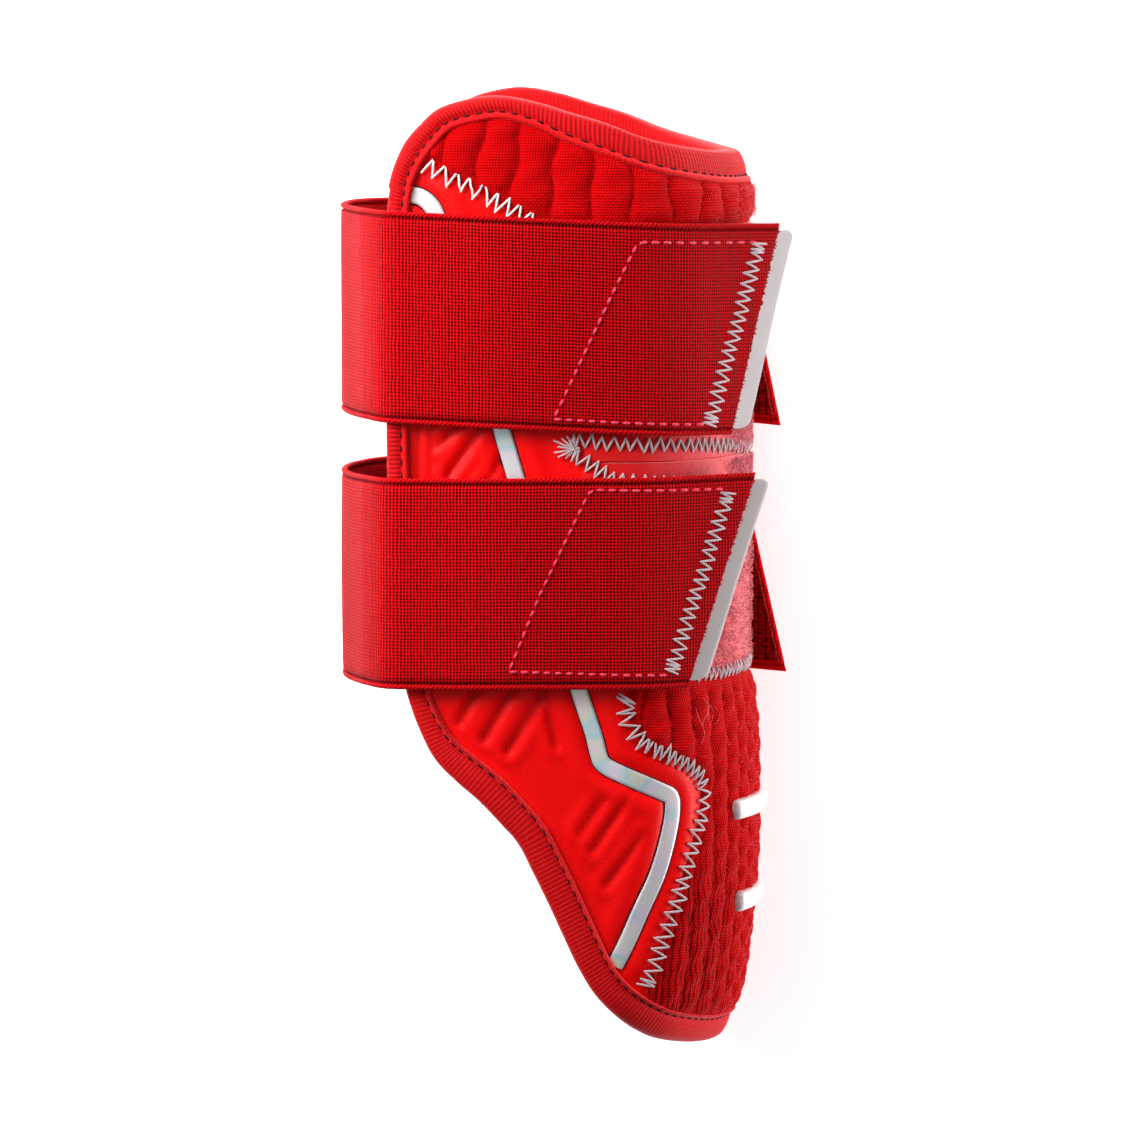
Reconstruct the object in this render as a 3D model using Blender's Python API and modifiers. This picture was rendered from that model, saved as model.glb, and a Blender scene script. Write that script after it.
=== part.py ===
"""Baseball elbow guard: a moulded pad bound with tape, panels on its ridge, two elastic straps.

The guard lies on its far wing. +Y runs up the arm, +X points out of the ridge, +Z points out of
the near wing. Every layer of the pad is placed by arc length round the section, height along the
arm and distance out of the pad's cover.
"""

import math

import bmesh
import bpy
import numpy as np
from mathutils import Vector

MM = 0.001

# Section of the pad's cover, seen along the arm
RIDGE_X = 43.5 * MM
HALF_WIDTH = 44.0 * MM
SIDE_FRONT_X = 14.0 * MM
SIDE_BACK_X = -14.0 * MM
SHOULDER_RADIUS = 23.0 * MM
WING_BEND_RADIUS = 120.0 * MM
WING_LEAN = math.radians(5.0)

# Reach of the bound edge: round the section from the ridge, up the arm and down it
WING_ARC = 113.6 * MM
TOP_REACH = 116.9 * MM
BOTTOM_REACH = 114.9 * MM

# Thicknesses and clearances
LAYER_GAP = 0.4 * MM
SHELL_THICKNESS = 8.0 * MM
SHELL_EDGE_THICKNESS = 3.4 * MM
SHELL_TAPER = 18.0 * MM
LINING_GAP = 0.6 * MM
KNIT_GAP = 0.9 * MM
TAPE_THICKNESS = 0.8 * MM
TAPE_STATION = 6.5 * MM
LOOP_THICKNESS = 1.0 * MM
STRIPE_THICKNESS = 0.5 * MM
KNIT_GROOVE_THICKNESS = 0.8 * MM
KNIT_PUFF = 1.3 * MM
STRAP_THICKNESS = 1.6 * MM
HOOK_THICKNESS = 0.8 * MM
TAB_THICKNESS = 0.9 * MM
BAR_THICKNESS = 1.6 * MM

# Panels
QUILT_PITCH = 10.0 * MM
STRIPE_WIDTH = 4.5 * MM
KNIT_LOWER_TOP = -27.2 * MM
KNIT_UPPER_BASE = 86.8 * MM
KNIT_UPPER_CORNER = 77.3 * MM
KNIT_UPPER_SLOPE = 0.565
KNIT_UPPER_HALF = 98.0 * MM
BAR_WIDTH = 5.0 * MM
LOOP_HALF = 54.0 * MM

# Straps
STRAP_WIDTH = 50.8 * MM
STRAP_LEAN = math.radians(7.0)
STRAP_CORNER_RADIUS = 7.0 * MM
STRAP_BACK_X = -53.9 * MM
STRAP_BACK_ANGLE = math.radians(32.0)
FAR_RUN_FRONT_X = 24.0 * MM
HOOK_FLAT_RUN = 8.0 * MM
TAB_REACH = 4.9 * MM
TAB_TUCK = 2.9 * MM
FAR_HOOK_INSET = 0.6 * MM
# Bare margins at the edges of a strap, as shares of its width
HOOK_EDGE = 0.05
TAB_EDGE = 0.02
SHOULDER_STEPS = 6

# How the ridge line and the half width change along the arm: height as a share of BOTTOM_REACH
# (below) or TOP_REACH (above), ridge setback as a share of RIDGE_X, width as a share of HALF_WIDTH
PROFILE = [
    # height, setback, width
    (-1.03, 0.200, 0.740),
    (-0.98, 0.138, 0.830),
    (-0.93, 0.085, 0.880),
    (-0.87, 0.044, 0.920),
    (-0.78, 0.011, 0.943),
    (-0.68, -0.016, 0.955),
    (-0.57, -0.034, 0.970),
    (-0.45, -0.034, 0.985),
    (-0.34, -0.028, 0.995),
    (-0.27, -0.010, 0.999),
    (-0.20, 0.000, 1.000),
    (0.00, 0.000, 1.000),
    (0.40, 0.000, 1.000),
    (0.76, 0.000, 1.000),
    (0.82, 0.021, 0.995),
    (0.87, 0.062, 0.988),
    (0.93, 0.126, 0.978),
    (1.00, 0.180, 0.970),
]

# The bound edge of one wing, from the top of the ridge round to its foot: arc as a share of
# WING_ARC, height as a share of TOP_REACH above or BOTTOM_REACH below, tape width in metres
EDGE = [
    # arc, height, tape width
    (0.000, 0.881, 7.8 * MM),
    (0.173, 0.884, 7.8 * MM),
    (0.311, 0.897, 7.9 * MM),
    (0.402, 0.915, 8.0 * MM),
    (0.477, 0.944, 8.0 * MM),
    (0.552, 0.967, 7.2 * MM),
    (0.614, 0.987, 6.0 * MM),
    (0.683, 1.000, 5.4 * MM),
    (0.744, 0.996, 5.3 * MM),
    (0.823, 0.975, 5.2 * MM),
    (0.879, 0.938, 5.2 * MM),
    (0.931, 0.895, 5.3 * MM),
    (0.973, 0.843, 5.4 * MM),
    (0.994, 0.790, 5.5 * MM),
    (1.000, 0.690, 5.5 * MM),
    (1.000, 0.480, 5.5 * MM),
    (0.999, 0.250, 5.5 * MM),
    (0.990, 0.040, 5.5 * MM),
    (0.975, -0.121, 5.5 * MM),
    (0.960, -0.222, 5.7 * MM),
    (0.935, -0.317, 6.6 * MM),
    (0.907, -0.373, 7.4 * MM),
    (0.863, -0.418, 8.0 * MM),
    (0.815, -0.459, 8.2 * MM),
    (0.768, -0.508, 8.2 * MM),
    (0.733, -0.548, 8.1 * MM),
    (0.701, -0.606, 8.0 * MM),
    (0.665, -0.670, 7.9 * MM),
    (0.624, -0.744, 7.8 * MM),
    (0.583, -0.813, 7.6 * MM),
    (0.542, -0.867, 7.4 * MM),
    (0.492, -0.910, 7.2 * MM),
    (0.430, -0.946, 7.1 * MM),
    (0.350, -0.973, 7.0 * MM),
    (0.206, -0.994, 6.9 * MM),
    (0.053, -1.000, 6.9 * MM),
    (0.000, -1.000, 6.9 * MM),
]

# Left side of the lower knit panel: height as a share of BOTTOM_REACH, arc as a share of WING_ARC
KNIT_LOWER_SIDE = [
    # height, arc
    (-0.237, 0.488),
    (-0.253, 0.497),
    (-0.305, 0.484),
    (-0.334, 0.460),
    (-0.350, 0.428),
    (-0.372, 0.385),
    (-0.397, 0.340),
    (-0.425, 0.320),
    (-0.455, 0.317),
    (-0.510, 0.330),
    (-0.574, 0.357),
    (-0.648, 0.379),
    (-0.713, 0.398),
    (-0.816, 0.425),
    (-0.870, 0.438),
]

# Centre line of the stripe on one wing: arc as a share of WING_ARC, height as in EDGE
STRIPE_LINE = [
    # arc, height
    (0.918, 0.795),
    (0.893, 0.787),
    (0.874, 0.750),
    (0.840, 0.660),
    (0.747, 0.303),
    (0.724, 0.227),
    (0.589, -0.222),
    (0.557, -0.352),
    (0.541, -0.384),
    (0.475, -0.422),
    (0.410, -0.452),
    (0.386, -0.480),
    (0.395, -0.527),
    (0.463, -0.687),
    (0.492, -0.772),
]

# Each strap: middle height and tilt of its near and far run, lift-off angle on the near
# shoulder, and the X of its tips at the upper and lower corner, near and far
STRAPS = {
    "upper": dict(mid=62.4 * MM, near_tilt=0.042, far_tilt=0.062, lift=math.radians(40.0),
                  near_tips=(51.7 * MM, 40.6 * MM), far_tips=(39.0 * MM, 50.0 * MM)),
    "lower": dict(mid=0.4 * MM, near_tilt=-0.010, far_tilt=0.030, lift=math.radians(57.0),
                  near_tips=(46.9 * MM, 31.0 * MM), far_tips=(39.6 * MM, 51.6 * MM)),
}
FAR_LIFT = math.radians(62.0)
LOOP_INSET = 1.4 * MM

# Raised bars: middle height, half length round the section
BARS = {
    "upper": dict(mid=-56.5 * MM, half_length=25.0 * MM),
    "lower": dict(mid=-79.5 * MM, half_length=21.0 * MM),
}

# Finishes: colour, roughness, metallic
FINISHES = {
    "smooth_cover": ((0.75, 0.01, 0.02), 0.45, 0.0),
    "binding_tape": ((0.60, 0.01, 0.015), 0.65, 0.0),
    "knit": ((0.45, 0.005, 0.01), 0.85, 0.0),
    "loop_pile": ((0.60, 0.03, 0.05), 0.95, 0.0),
    "silver_film": ((0.72, 0.74, 0.75), 0.28, 0.6),
    "raised_bar": ((0.85, 0.86, 0.86), 0.30, 0.0),
    "elastic": ((0.47, 0.01, 0.025), 0.80, 0.0),
    "satin_tab": ((0.68, 0.65, 0.64), 0.50, 0.0),
    "hook_tape": ((0.25, 0.005, 0.01), 0.70, 0.0),
}


def rise(share):
    """Height in metres from a share of the reach above or below the middle."""
    share = np.asarray(share, dtype=float)
    return np.where(share >= 0.0, share * TOP_REACH, share * BOTTOM_REACH)


def smooth_line(rows, steps):
    """Smooth curve through the rows, with steps points for each span between two rows."""
    rows = np.asarray(rows, dtype=float)
    ends = np.vstack([2.0 * rows[0] - rows[1], rows, 2.0 * rows[-1] - rows[-2]])
    before, start, end, after = ends[:-3], ends[1:-2], ends[2:-1], ends[3:]
    t = (np.arange(steps) / steps)[None, :, None]
    before, start, end, after = (part[:, None, :] for part in (before, start, end, after))
    curve = 0.5 * (2.0 * start + (end - before) * t
                   + (2.0 * before - 5.0 * start + 4.0 * end - after) * t ** 2
                   + (3.0 * start - before - 3.0 * end + after) * t ** 3)
    return np.vstack([curve.reshape(-1, rows.shape[1]), rows[-1]])


def section(arc):
    """X, Z and outward angle of the pad's section at a distance round it from the ridge."""
    depth = RIDGE_X - SIDE_FRONT_X
    height = HALF_WIDTH - SHOULDER_RADIUS
    ridge_radius = (depth ** 2 + height ** 2 - SHOULDER_RADIUS ** 2) / (2.0 * (depth - SHOULDER_RADIUS))
    centre_x = RIDGE_X - ridge_radius
    ridge_turn = math.atan2(height, SIDE_FRONT_X - centre_x)
    reach = np.abs(arc)
    on_ridge = np.minimum(reach, ridge_radius * ridge_turn) / ridge_radius
    reach = reach - ridge_radius * ridge_turn
    on_shoulder = np.clip(reach / SHOULDER_RADIUS, 0.0, math.pi / 2.0 - ridge_turn)
    reach = reach - SHOULDER_RADIUS * (math.pi / 2.0 - ridge_turn)
    on_side = np.clip(reach, 0.0, SIDE_FRONT_X - SIDE_BACK_X)
    reach = reach - (SIDE_FRONT_X - SIDE_BACK_X)
    on_bend = np.clip(reach / WING_BEND_RADIUS, 0.0, WING_LEAN)
    on_wing = np.maximum(reach - WING_BEND_RADIUS * WING_LEAN, 0.0)
    shoulder_angle = ridge_turn + on_shoulder
    x = (centre_x + ridge_radius * np.cos(on_ridge)
         + SHOULDER_RADIUS * (np.cos(shoulder_angle) - math.cos(ridge_turn))
         - on_side - WING_BEND_RADIUS * np.sin(on_bend) - on_wing * math.cos(WING_LEAN))
    z = (ridge_radius * np.sin(on_ridge)
         + SHOULDER_RADIUS * (np.sin(shoulder_angle) - math.sin(ridge_turn))
         - WING_BEND_RADIUS * (1.0 - np.cos(on_bend)) - on_wing * math.sin(WING_LEAN))
    angle = on_ridge + on_shoulder + on_bend
    return x, z * np.sign(arc), angle * np.sign(arc)


def on_pad(arc, height, out):
    """Point at a distance round the section, a height along the arm and a distance out of it."""
    profile = smooth_line(PROFILE, 6)
    levels = rise(profile[:, 0])
    setback = np.interp(height, levels, profile[:, 1]) * RIDGE_X
    width = np.interp(height, levels, profile[:, 2])
    x, z, angle = section(arc)
    normal_x = width * np.cos(angle)
    normal_z = np.sin(angle)
    length = np.hypot(normal_x, normal_z)
    return np.stack([x - setback + out * normal_x / length,
                     height + 0.0 * x,
                     z * width + out * normal_z / length], axis=-1)


def edge_curve(steps=4):
    """Arc, height and tape width along the near wing's edge, from ridge top to ridge foot."""
    curve = smooth_line(EDGE, steps)
    return np.column_stack([curve[:, 0] * WING_ARC, rise(curve[:, 0] * 0.0 + curve[:, 1]), curve[:, 2]])


def inward(curve):
    """Unit direction into the pad, square to the edge, at each point of the near wing's edge."""
    run = np.gradient(curve[:, :2], axis=0)
    run = run / np.linalg.norm(run, axis=1, keepdims=True)
    direction = np.column_stack([run[:, 1], -run[:, 0]])
    direction[0] = (0.0, -1.0)
    direction[-1] = (0.0, 1.0)
    return direction


def limits(arc, inset, with_tape=False):
    """Lowest and highest height at each arc, that far inside the bound edge."""
    curve = edge_curve()
    depth = inset + (curve[:, 2] if with_tape else 0.0)
    line = curve[:, :2] + inward(curve) * np.reshape(depth + np.zeros(len(curve)), (-1, 1))
    turn = int(np.argmax(line[:, 0]))
    top = line[:turn + 1]
    foot = line[turn:][::-1]
    reach = np.minimum(np.abs(arc), line[turn, 0])
    return np.interp(reach, foot[:, 0], foot[:, 1]), np.interp(reach, top[:, 0], top[:, 1])


def add_object(name, mesh, finish):
    """New object in the guard's collection with its own material."""
    colour, roughness, metallic = FINISHES[finish]
    material = bpy.data.materials.new(name + "_" + finish)
    material.use_nodes = True
    shader = material.node_tree.nodes["Principled BSDF"]
    shader.inputs["Base Color"].default_value = (*colour, 1.0)
    shader.inputs["Roughness"].default_value = roughness
    shader.inputs["Metallic"].default_value = metallic
    mesh.materials.append(material)
    mesh.shade_smooth()
    mesh.set_sharp_from_angle(angle=math.radians(40.0))
    built = bpy.data.objects.new(name, mesh)
    bpy.data.collections["Baseball elbow guard"].objects.link(built)
    built.parent = bpy.data.objects["guard_frame"]
    return built


def solid_between(name, outer, inner, finish):
    """Closed solid between two grids of points, each rows by columns by three."""
    rows, columns = outer.shape[:2]
    mesh = bpy.data.meshes.new(name)
    points = np.concatenate([outer.reshape(-1, 3), inner.reshape(-1, 3)])
    index = np.arange(rows * columns).reshape(rows, columns)
    quads = np.stack([index[:-1, :-1], index[:-1, 1:], index[1:, 1:], index[1:, :-1]], axis=-1)
    quads = quads.reshape(-1, 4)
    rim = np.concatenate([index[0, :], index[1:, -1], index[-1, -2::-1], index[-2:0:-1, 0]])
    following = np.roll(rim, -1)
    under = rows * columns
    walls = np.stack([rim, rim + under, following + under, following], axis=-1)
    faces = np.concatenate([quads, quads[:, ::-1] + under, walls])
    mesh.from_pydata(points.tolist(), [], faces.tolist())
    mesh.update()
    return add_object(name, mesh, finish)


def loft_ring(name, rings, finish):
    """Closed tube through closed rings of points, the last joined to the first."""
    count, sides = rings.shape[:2]
    mesh = bpy.data.meshes.new(name)
    index = np.arange(count * sides).reshape(count, sides)
    ahead = np.roll(index, -1, axis=0)
    faces = np.stack([index, np.roll(index, -1, axis=1), np.roll(ahead, -1, axis=1), ahead], axis=-1)
    mesh.from_pydata(rings.reshape(-1, 3).tolist(), [], faces.reshape(-1, 4).tolist())
    mesh.update()
    return add_object(name, mesh, finish)


def open_sheet(name, columns, rows, place, thickness, finish):
    """Grid laid by place(u, v), thickened outwards with Solidify."""
    sheet = bmesh.new()
    bmesh.ops.create_grid(sheet, x_segments=columns, y_segments=rows, size=1.0)
    flat = np.array([vert.co for vert in sheet.verts])
    points = place((flat[:, 0] + 1.0) / 2.0, (flat[:, 1] + 1.0) / 2.0)
    for vert, point in zip(sheet.verts, points):
        vert.co = Vector(point)
    mesh = bpy.data.meshes.new(name)
    sheet.to_mesh(mesh)
    sheet.free()
    built = add_object(name, mesh, finish)
    solidify = built.modifiers.new("Thickness", "SOLIDIFY")
    solidify.thickness = thickness
    solidify.offset = 1.0
    return built


def shell_depth(away):
    """Thickness of the pad at a distance in from the bound edge."""
    swell = np.clip((away - TAPE_THICKNESS - LAYER_GAP) / SHELL_TAPER, 0.0, 1.0)
    swell = swell * swell * (3.0 - 2.0 * swell)
    return SHELL_EDGE_THICKNESS + (SHELL_THICKNESS - SHELL_EDGE_THICKNESS) * swell


def build_padded_shell():
    """Moulded pad: smooth cover outside, hollow inside, thin where the tape holds its edge."""
    inset = TAPE_THICKNESS + LAYER_GAP
    share = np.concatenate([np.arange(0.0, 0.86, 0.05), [0.885, 0.915, 0.94, 0.96, 0.976, 0.989, 1.0]])
    arc = np.concatenate([share[:0:-1], -share]) * (WING_ARC - inset)
    low, high = limits(arc, inset)
    margin = np.array([0.0, 2.5, 5.5, 9.0])[:, None] * MM
    middle = low + margin[-1] + (high - low - 2.0 * margin[-1]) * np.linspace(0.0, 1.0, 15)[1:-1, None]
    height = np.vstack([low + margin, middle, high - margin[::-1]])
    arcs = arc + 0.0 * height
    rim = edge_curve()[:, :2]
    away = np.hypot(np.abs(arcs)[..., None] - rim[:, 0], height[..., None] - rim[:, 1]).min(axis=-1)
    outer = on_pad(arcs, height, 0.0)
    solid_between("padded_shell", outer, on_pad(arcs, height, -shell_depth(away)), "smooth_cover")


def build_edge_binding():
    """Tape folded round the pad's edge: a U-shaped profile swept round the whole edge."""
    curve = edge_curve(steps=12)
    spaced = np.concatenate([[0.0], np.cumsum(np.linalg.norm(np.diff(curve[:, :2], axis=0), axis=1))])
    stations = np.linspace(0.0, spaced[-1], int(round(spaced[-1] / TAPE_STATION)) + 1)
    curve = np.column_stack([np.interp(stations, spaced, curve[:, k]) for k in range(3)])
    into = inward(curve)
    back = slice(-2, 0, -1)
    mirror = np.array([-1.0, 1.0])
    line = np.concatenate([curve[:, :2], curve[back, :2] * mirror])
    width = np.concatenate([curve[:, 2], curve[back, 2]])
    into = np.concatenate([into, into[back] * mirror])
    face = LAYER_GAP + TAPE_THICKNESS
    lining = LINING_GAP + TAPE_THICKNESS
    # depth in from the edge as a share of the tape width and a fixed part, then the distance
    # from the cover where it is positive and from the pad's lining where it is negative
    profile = [
        (1.0, 0.0, LAYER_GAP),
        (1.0, 0.0, face * 0.85),
        (0.0, 2.0 * MM, face),
        (0.0, 0.25 * MM, LAYER_GAP),
        (0.0, 0.0, -0.5 * SHELL_EDGE_THICKNESS),
        (0.0, 0.25 * MM, -SHELL_EDGE_THICKNESS - LINING_GAP),
        (0.0, 2.0 * MM, -shell_depth(2.0 * MM) - lining),
        (1.0, 0.0, -shell_depth(width) - lining * 0.85),
        (1.0, 0.0, -shell_depth(width) - LINING_GAP),
        (0.0, TAPE_THICKNESS, -SHELL_EDGE_THICKNESS - LINING_GAP),
        (0.0, TAPE_THICKNESS, LAYER_GAP),
    ]
    rings = []
    for share, fixed, out in profile:
        spot = line + into * (share * width + fixed)[:, None]
        rings.append(on_pad(spot[:, 0], spot[:, 1], out))
    loft_ring("edge_binding", np.stack(rings, axis=1), "binding_tape")


def quilted_panel(name, arcs, height, puff):
    """Knit panel on the cover whose outer face swells between its grooves."""
    outer = on_pad(arcs, height, KNIT_GAP + KNIT_GROOVE_THICKNESS + KNIT_PUFF * puff)
    inner = on_pad(arcs, height, KNIT_GAP)
    solid_between(name, outer, inner, "knit")


def build_knit_panel_upper():
    """Quilted panel above the upper strap, cut off along the seam on each wing."""
    columns = 4 * int(round(KNIT_UPPER_HALF / QUILT_PITCH)) + 1
    arc = np.linspace(KNIT_UPPER_HALF, -KNIT_UPPER_HALF, columns)
    high = limits(arc, LAYER_GAP, with_tape=True)[1]
    seam = KNIT_UPPER_BASE + np.maximum(np.abs(arc) - KNIT_UPPER_CORNER, 0.0) * KNIT_UPPER_SLOPE
    low = np.minimum(seam, high - 1.0 * MM)
    up = np.linspace(0.0, 1.0, 5)[:, None]
    height = low + (high - low) * up
    crest = np.abs(np.sin(np.pi * np.arange(columns) / 2.0))
    puff = crest * np.sin(np.pi * np.clip(up * 0.9 + 0.05, 0.0, 1.0)) ** 0.5
    quilted_panel("knit_panel_upper", arc + 0.0 * height, height, puff)


def knit_lower_grid(across, down):
    """Arc and height of the lower knit panel at shares across it and down it."""
    side = smooth_line(KNIT_LOWER_SIDE, 6)
    level = KNIT_LOWER_TOP + (rise(KNIT_LOWER_SIDE[-1][0]) - KNIT_LOWER_TOP) * down
    half = np.interp(-level, -rise(side[:, 0]), side[:, 1]) * WING_ARC
    arc = across * half
    foot = limits(across * KNIT_LOWER_SIDE[-1][1] * WING_ARC, LAYER_GAP, with_tape=True)[0]
    return arc, level + (foot - rise(KNIT_LOWER_SIDE[-1][0])) * down ** 3


def build_knit_panel_lower():
    """Quilted panel over the elbow cup, from the lower strap to the foot of the pad."""
    cells = 11
    across = np.linspace(1.0, -1.0, 2 * cells + 1)
    down = np.linspace(1.0, 0.0, 18)[:, None]
    arc, height = knit_lower_grid(across, down)
    crest = np.abs(np.sin(np.pi * np.arange(len(across)) / 2.0))
    cell = 0.72 + 0.28 * np.abs(np.sin(np.pi * down * 5.0 + np.pi * (np.arange(len(across)) // 2) / 2.0))
    puff = crest * cell * np.sin(np.pi * np.clip(0.04 + 0.92 * down, 0.0, 1.0)) ** 0.3
    quilted_panel("knit_panel_lower", arc + 0.0 * height, height, puff)


def build_loop_patch(name, half, low, high):
    """Loop fabric round the ridge, between two heights."""
    def place(u, v):
        return on_pad(half * (1.0 - 2.0 * u), low + (high - low) * v, LAYER_GAP)
    columns = 2 * int(math.ceil(half / (4.6 * MM)))
    open_sheet(name, columns, 1, place, LOOP_THICKNESS, "loop_pile")


def build_stripe(name, side):
    """Silver stripe along its centre line on one wing; side is 1 near and -1 far."""
    rows = np.array(STRIPE_LINE)
    line = smooth_line(np.column_stack([rows[:, 0] * WING_ARC, rise(rows[:, 1])]), 2)
    run = np.gradient(line, axis=0)
    run = run / np.linalg.norm(run, axis=1, keepdims=True)
    across = np.column_stack([-run[:, 1], run[:, 0]])
    count = len(line) - 1

    def place(u, v):
        spot = np.rint(v * count).astype(int)
        point = line[spot] + across[spot] * ((u - 0.5) * STRIPE_WIDTH * side)[:, None]
        return on_pad(point[:, 0] * side, point[:, 1], LAYER_GAP)
    return open_sheet(name, 1, count, place, STRIPE_THICKNESS, "silver_film")


def build_ridge_bar(name, mid, half_length):
    """Plain raised bar across the ridge, on top of the lower knit panel."""
    seat = KNIT_GAP + KNIT_GROOVE_THICKNESS + KNIT_PUFF + LAYER_GAP

    def place(u, v):
        return on_pad(half_length * (1.0 - 2.0 * u), mid + BAR_WIDTH * (v - 0.5), seat)
    bar = open_sheet(name, 10, 1, place, BAR_THICKNESS, "raised_bar")
    bevel = bar.modifiers.new("Rounded edge", "BEVEL")
    bevel.width = 0.5 * MM
    bevel.segments = 1
    bevel.limit_method = "ANGLE"
    bevel.angle_limit = math.radians(60.0)


def trace(start, heading, runs):
    """Points and headings along straight and curved runs of (length, turn, steps)."""
    points = [np.array([start])]
    headings = [np.array([heading])]
    x, z = start
    for length, turn, steps in runs:
        share = np.linspace(0.0, 1.0, steps + 1)[1:]
        angle = heading + turn * share
        if turn:
            radius = length / turn
            run_x = x + radius * (np.sin(angle) - math.sin(heading))
            run_z = z + radius * (math.cos(heading) - np.cos(angle))
        else:
            run_x = x + length * share * math.cos(heading)
            run_z = z + length * share * math.sin(heading)
        points.append(np.column_stack([run_x, run_z]))
        headings.append(angle)
        x, z, heading = run_x[-1], run_z[-1], heading + turn
    return np.concatenate(points), np.concatenate(headings)


def strap_standoff():
    """Distance of a strap's inner face from the cover: loop, hook and their clearances."""
    return LOOP_THICKNESS + HOOK_THICKNESS + 3.0 * LAYER_GAP


def strap_half(lift, front_x):
    """Inner face of half a strap in X and Z, from its lift-off point to the back's middle."""
    standoff = strap_standoff()
    radius = SHOULDER_RADIUS + standoff
    start = (front_x + radius * math.cos(lift), HALF_WIDTH - SHOULDER_RADIUS + radius * math.sin(lift))
    bend = (WING_BEND_RADIUS + standoff) * STRAP_LEAN
    lean_end = math.pi + STRAP_LEAN
    back_start = 1.5 * math.pi - STRAP_BACK_ANGLE
    bend_end_x = SIDE_BACK_X - (WING_BEND_RADIUS + standoff) * math.sin(STRAP_LEAN)
    bend_end_z = HALF_WIDTH + standoff - (WING_BEND_RADIUS + standoff) * (1.0 - math.cos(STRAP_LEAN))
    corner_x = STRAP_CORNER_RADIUS * (math.sin(back_start) - math.sin(lean_end))
    corner_z = STRAP_CORNER_RADIUS * (math.cos(lean_end) - math.cos(back_start))
    # wing run and back radius close the loop on the back's middle
    unknowns = np.array([[math.cos(lean_end), -1.0 - math.sin(back_start)],
                         [math.sin(lean_end), math.cos(back_start)]])
    target = np.array([STRAP_BACK_X - bend_end_x - corner_x, -bend_end_z - corner_z])
    wing_run, back_radius = np.linalg.solve(unknowns, target)
    runs = [
        (radius * (math.pi / 2.0 - lift), math.pi / 2.0 - lift, SHOULDER_STEPS),
        (front_x - SIDE_BACK_X, 0.0, 3),
        (bend, STRAP_LEAN, 2),
        (wing_run, 0.0, 1),
        (STRAP_CORNER_RADIUS * (back_start - lean_end), back_start - lean_end, 4),
        (back_radius * STRAP_BACK_ANGLE, STRAP_BACK_ANGLE, 5),
    ]
    return trace(start, lift + math.pi / 2.0, runs)


def strap_levels(low=0.0, high=1.0):
    """Three levels across a strap, as a column."""
    return np.linspace(low, high, 3)[:, None]


def strap_run(strap, side, shares, level, reach_change=0.0):
    """Half a strap's inner face, then X and Z of stations on its slanted tip at each level."""
    near = side > 0
    lift = strap["lift"] if near else FAR_LIFT
    front_x = SIDE_FRONT_X if near else FAR_RUN_FRONT_X
    half, headings = strap_half(lift, front_x)
    top_x, low_x = strap["near_tips"] if near else strap["far_tips"]
    tip_x = low_x + (top_x - low_x) * level
    travel = (tip_x - half[0, 0]) / math.sin(lift) * np.asarray(shares) + reach_change
    x = half[0, 0] + travel * math.sin(lift)
    z = half[0, 1] - travel * math.cos(lift)
    return half, headings, x, z


def strap_heights(strap, x, side, level):
    """Height of each station: across the strap's width, tilted along its run."""
    back = STRAP_BACK_X
    near_y = -strap["near_tilt"] * x
    far_y = -strap["near_tilt"] * back - strap["far_tilt"] * (x - back)
    return strap["mid"] + STRAP_WIDTH * (level - 0.5) + np.where(side > 0, near_y, far_y)


def offset_pair(x, y, z, heading, low, high):
    """Outer and inner grids, moved square to the strap by two distances."""
    normal_x = np.cos(heading - math.pi / 2.0)
    normal_z = np.sin(heading - math.pi / 2.0)
    outer = np.stack([x + high * normal_x, y, z + high * normal_z], axis=-1)
    inner = np.stack([x + low * normal_x, y, z + low * normal_z], axis=-1)
    return outer, inner


def build_strap(name, strap):
    """Elastic strap from its near tip over the near wing, round the back, to its far tip."""
    shares = np.linspace(1.0, 0.0, 4)[:-1]
    level = strap_levels()
    near, near_heading, near_x, near_z = strap_run(strap, 1, shares, level)
    far, far_heading, far_x, far_z = strap_run(strap, -1, shares, level)
    same = np.zeros((3, 1))
    x = np.hstack([near_x, near[:, 0] + same, far[-2::-1, 0] + same, far_x[:, ::-1]])
    z = np.hstack([near_z, near[:, 1] + same, -far[-2::-1, 1] + same, -far_z[:, ::-1]])
    near_count = near_x.shape[1] + len(near)
    side = np.where(np.arange(x.shape[1]) < near_count, 1.0, -1.0)
    heading = np.concatenate([np.full(len(shares), near_heading[0]), near_heading,
                              3.0 * math.pi - far_heading[-2::-1],
                              np.full(len(shares), 3.0 * math.pi - far_heading[0])])
    y = strap_heights(strap, x, side, level)
    outer, inner = offset_pair(x, y, z, heading[None, :], 0.0, STRAP_THICKNESS)
    solid_between(name, outer[:, ::-1], inner[:, ::-1], "elastic")


def build_hook_patch(name, strap, side):
    """Hook fastener along the inner face of one strap end, from its tip to the flat side."""
    level = strap_levels(HOOK_EDGE, 1.0 - HOOK_EDGE)
    end_inset = TAB_TUCK + LAYER_GAP if side > 0 else FAR_HOOK_INSET
    half, headings, tip_x, tip_z = strap_run(strap, side, [1.0], level, -end_inset)
    shoulder = half[:SHOULDER_STEPS + 1]
    same = np.zeros((3, 1))
    x = np.hstack([tip_x, shoulder[:, 0] + same, shoulder[-1, 0] - HOOK_FLAT_RUN + same])
    z = np.hstack([tip_z, shoulder[:, 1] + same, shoulder[-1, 1] + same])
    heading = headings[[0, *range(SHOULDER_STEPS + 1), SHOULDER_STEPS]]
    y = strap_heights(strap, x, side, level)
    outer, inner = offset_pair(x, y, z, heading, -LAYER_GAP - HOOK_THICKNESS, -LAYER_GAP)
    turn = np.array([1.0, 1.0, float(side)])
    order = slice(None, None, -side)
    solid_between(name, outer[:, order] * turn, inner[:, order] * turn, "hook_tape")


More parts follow.
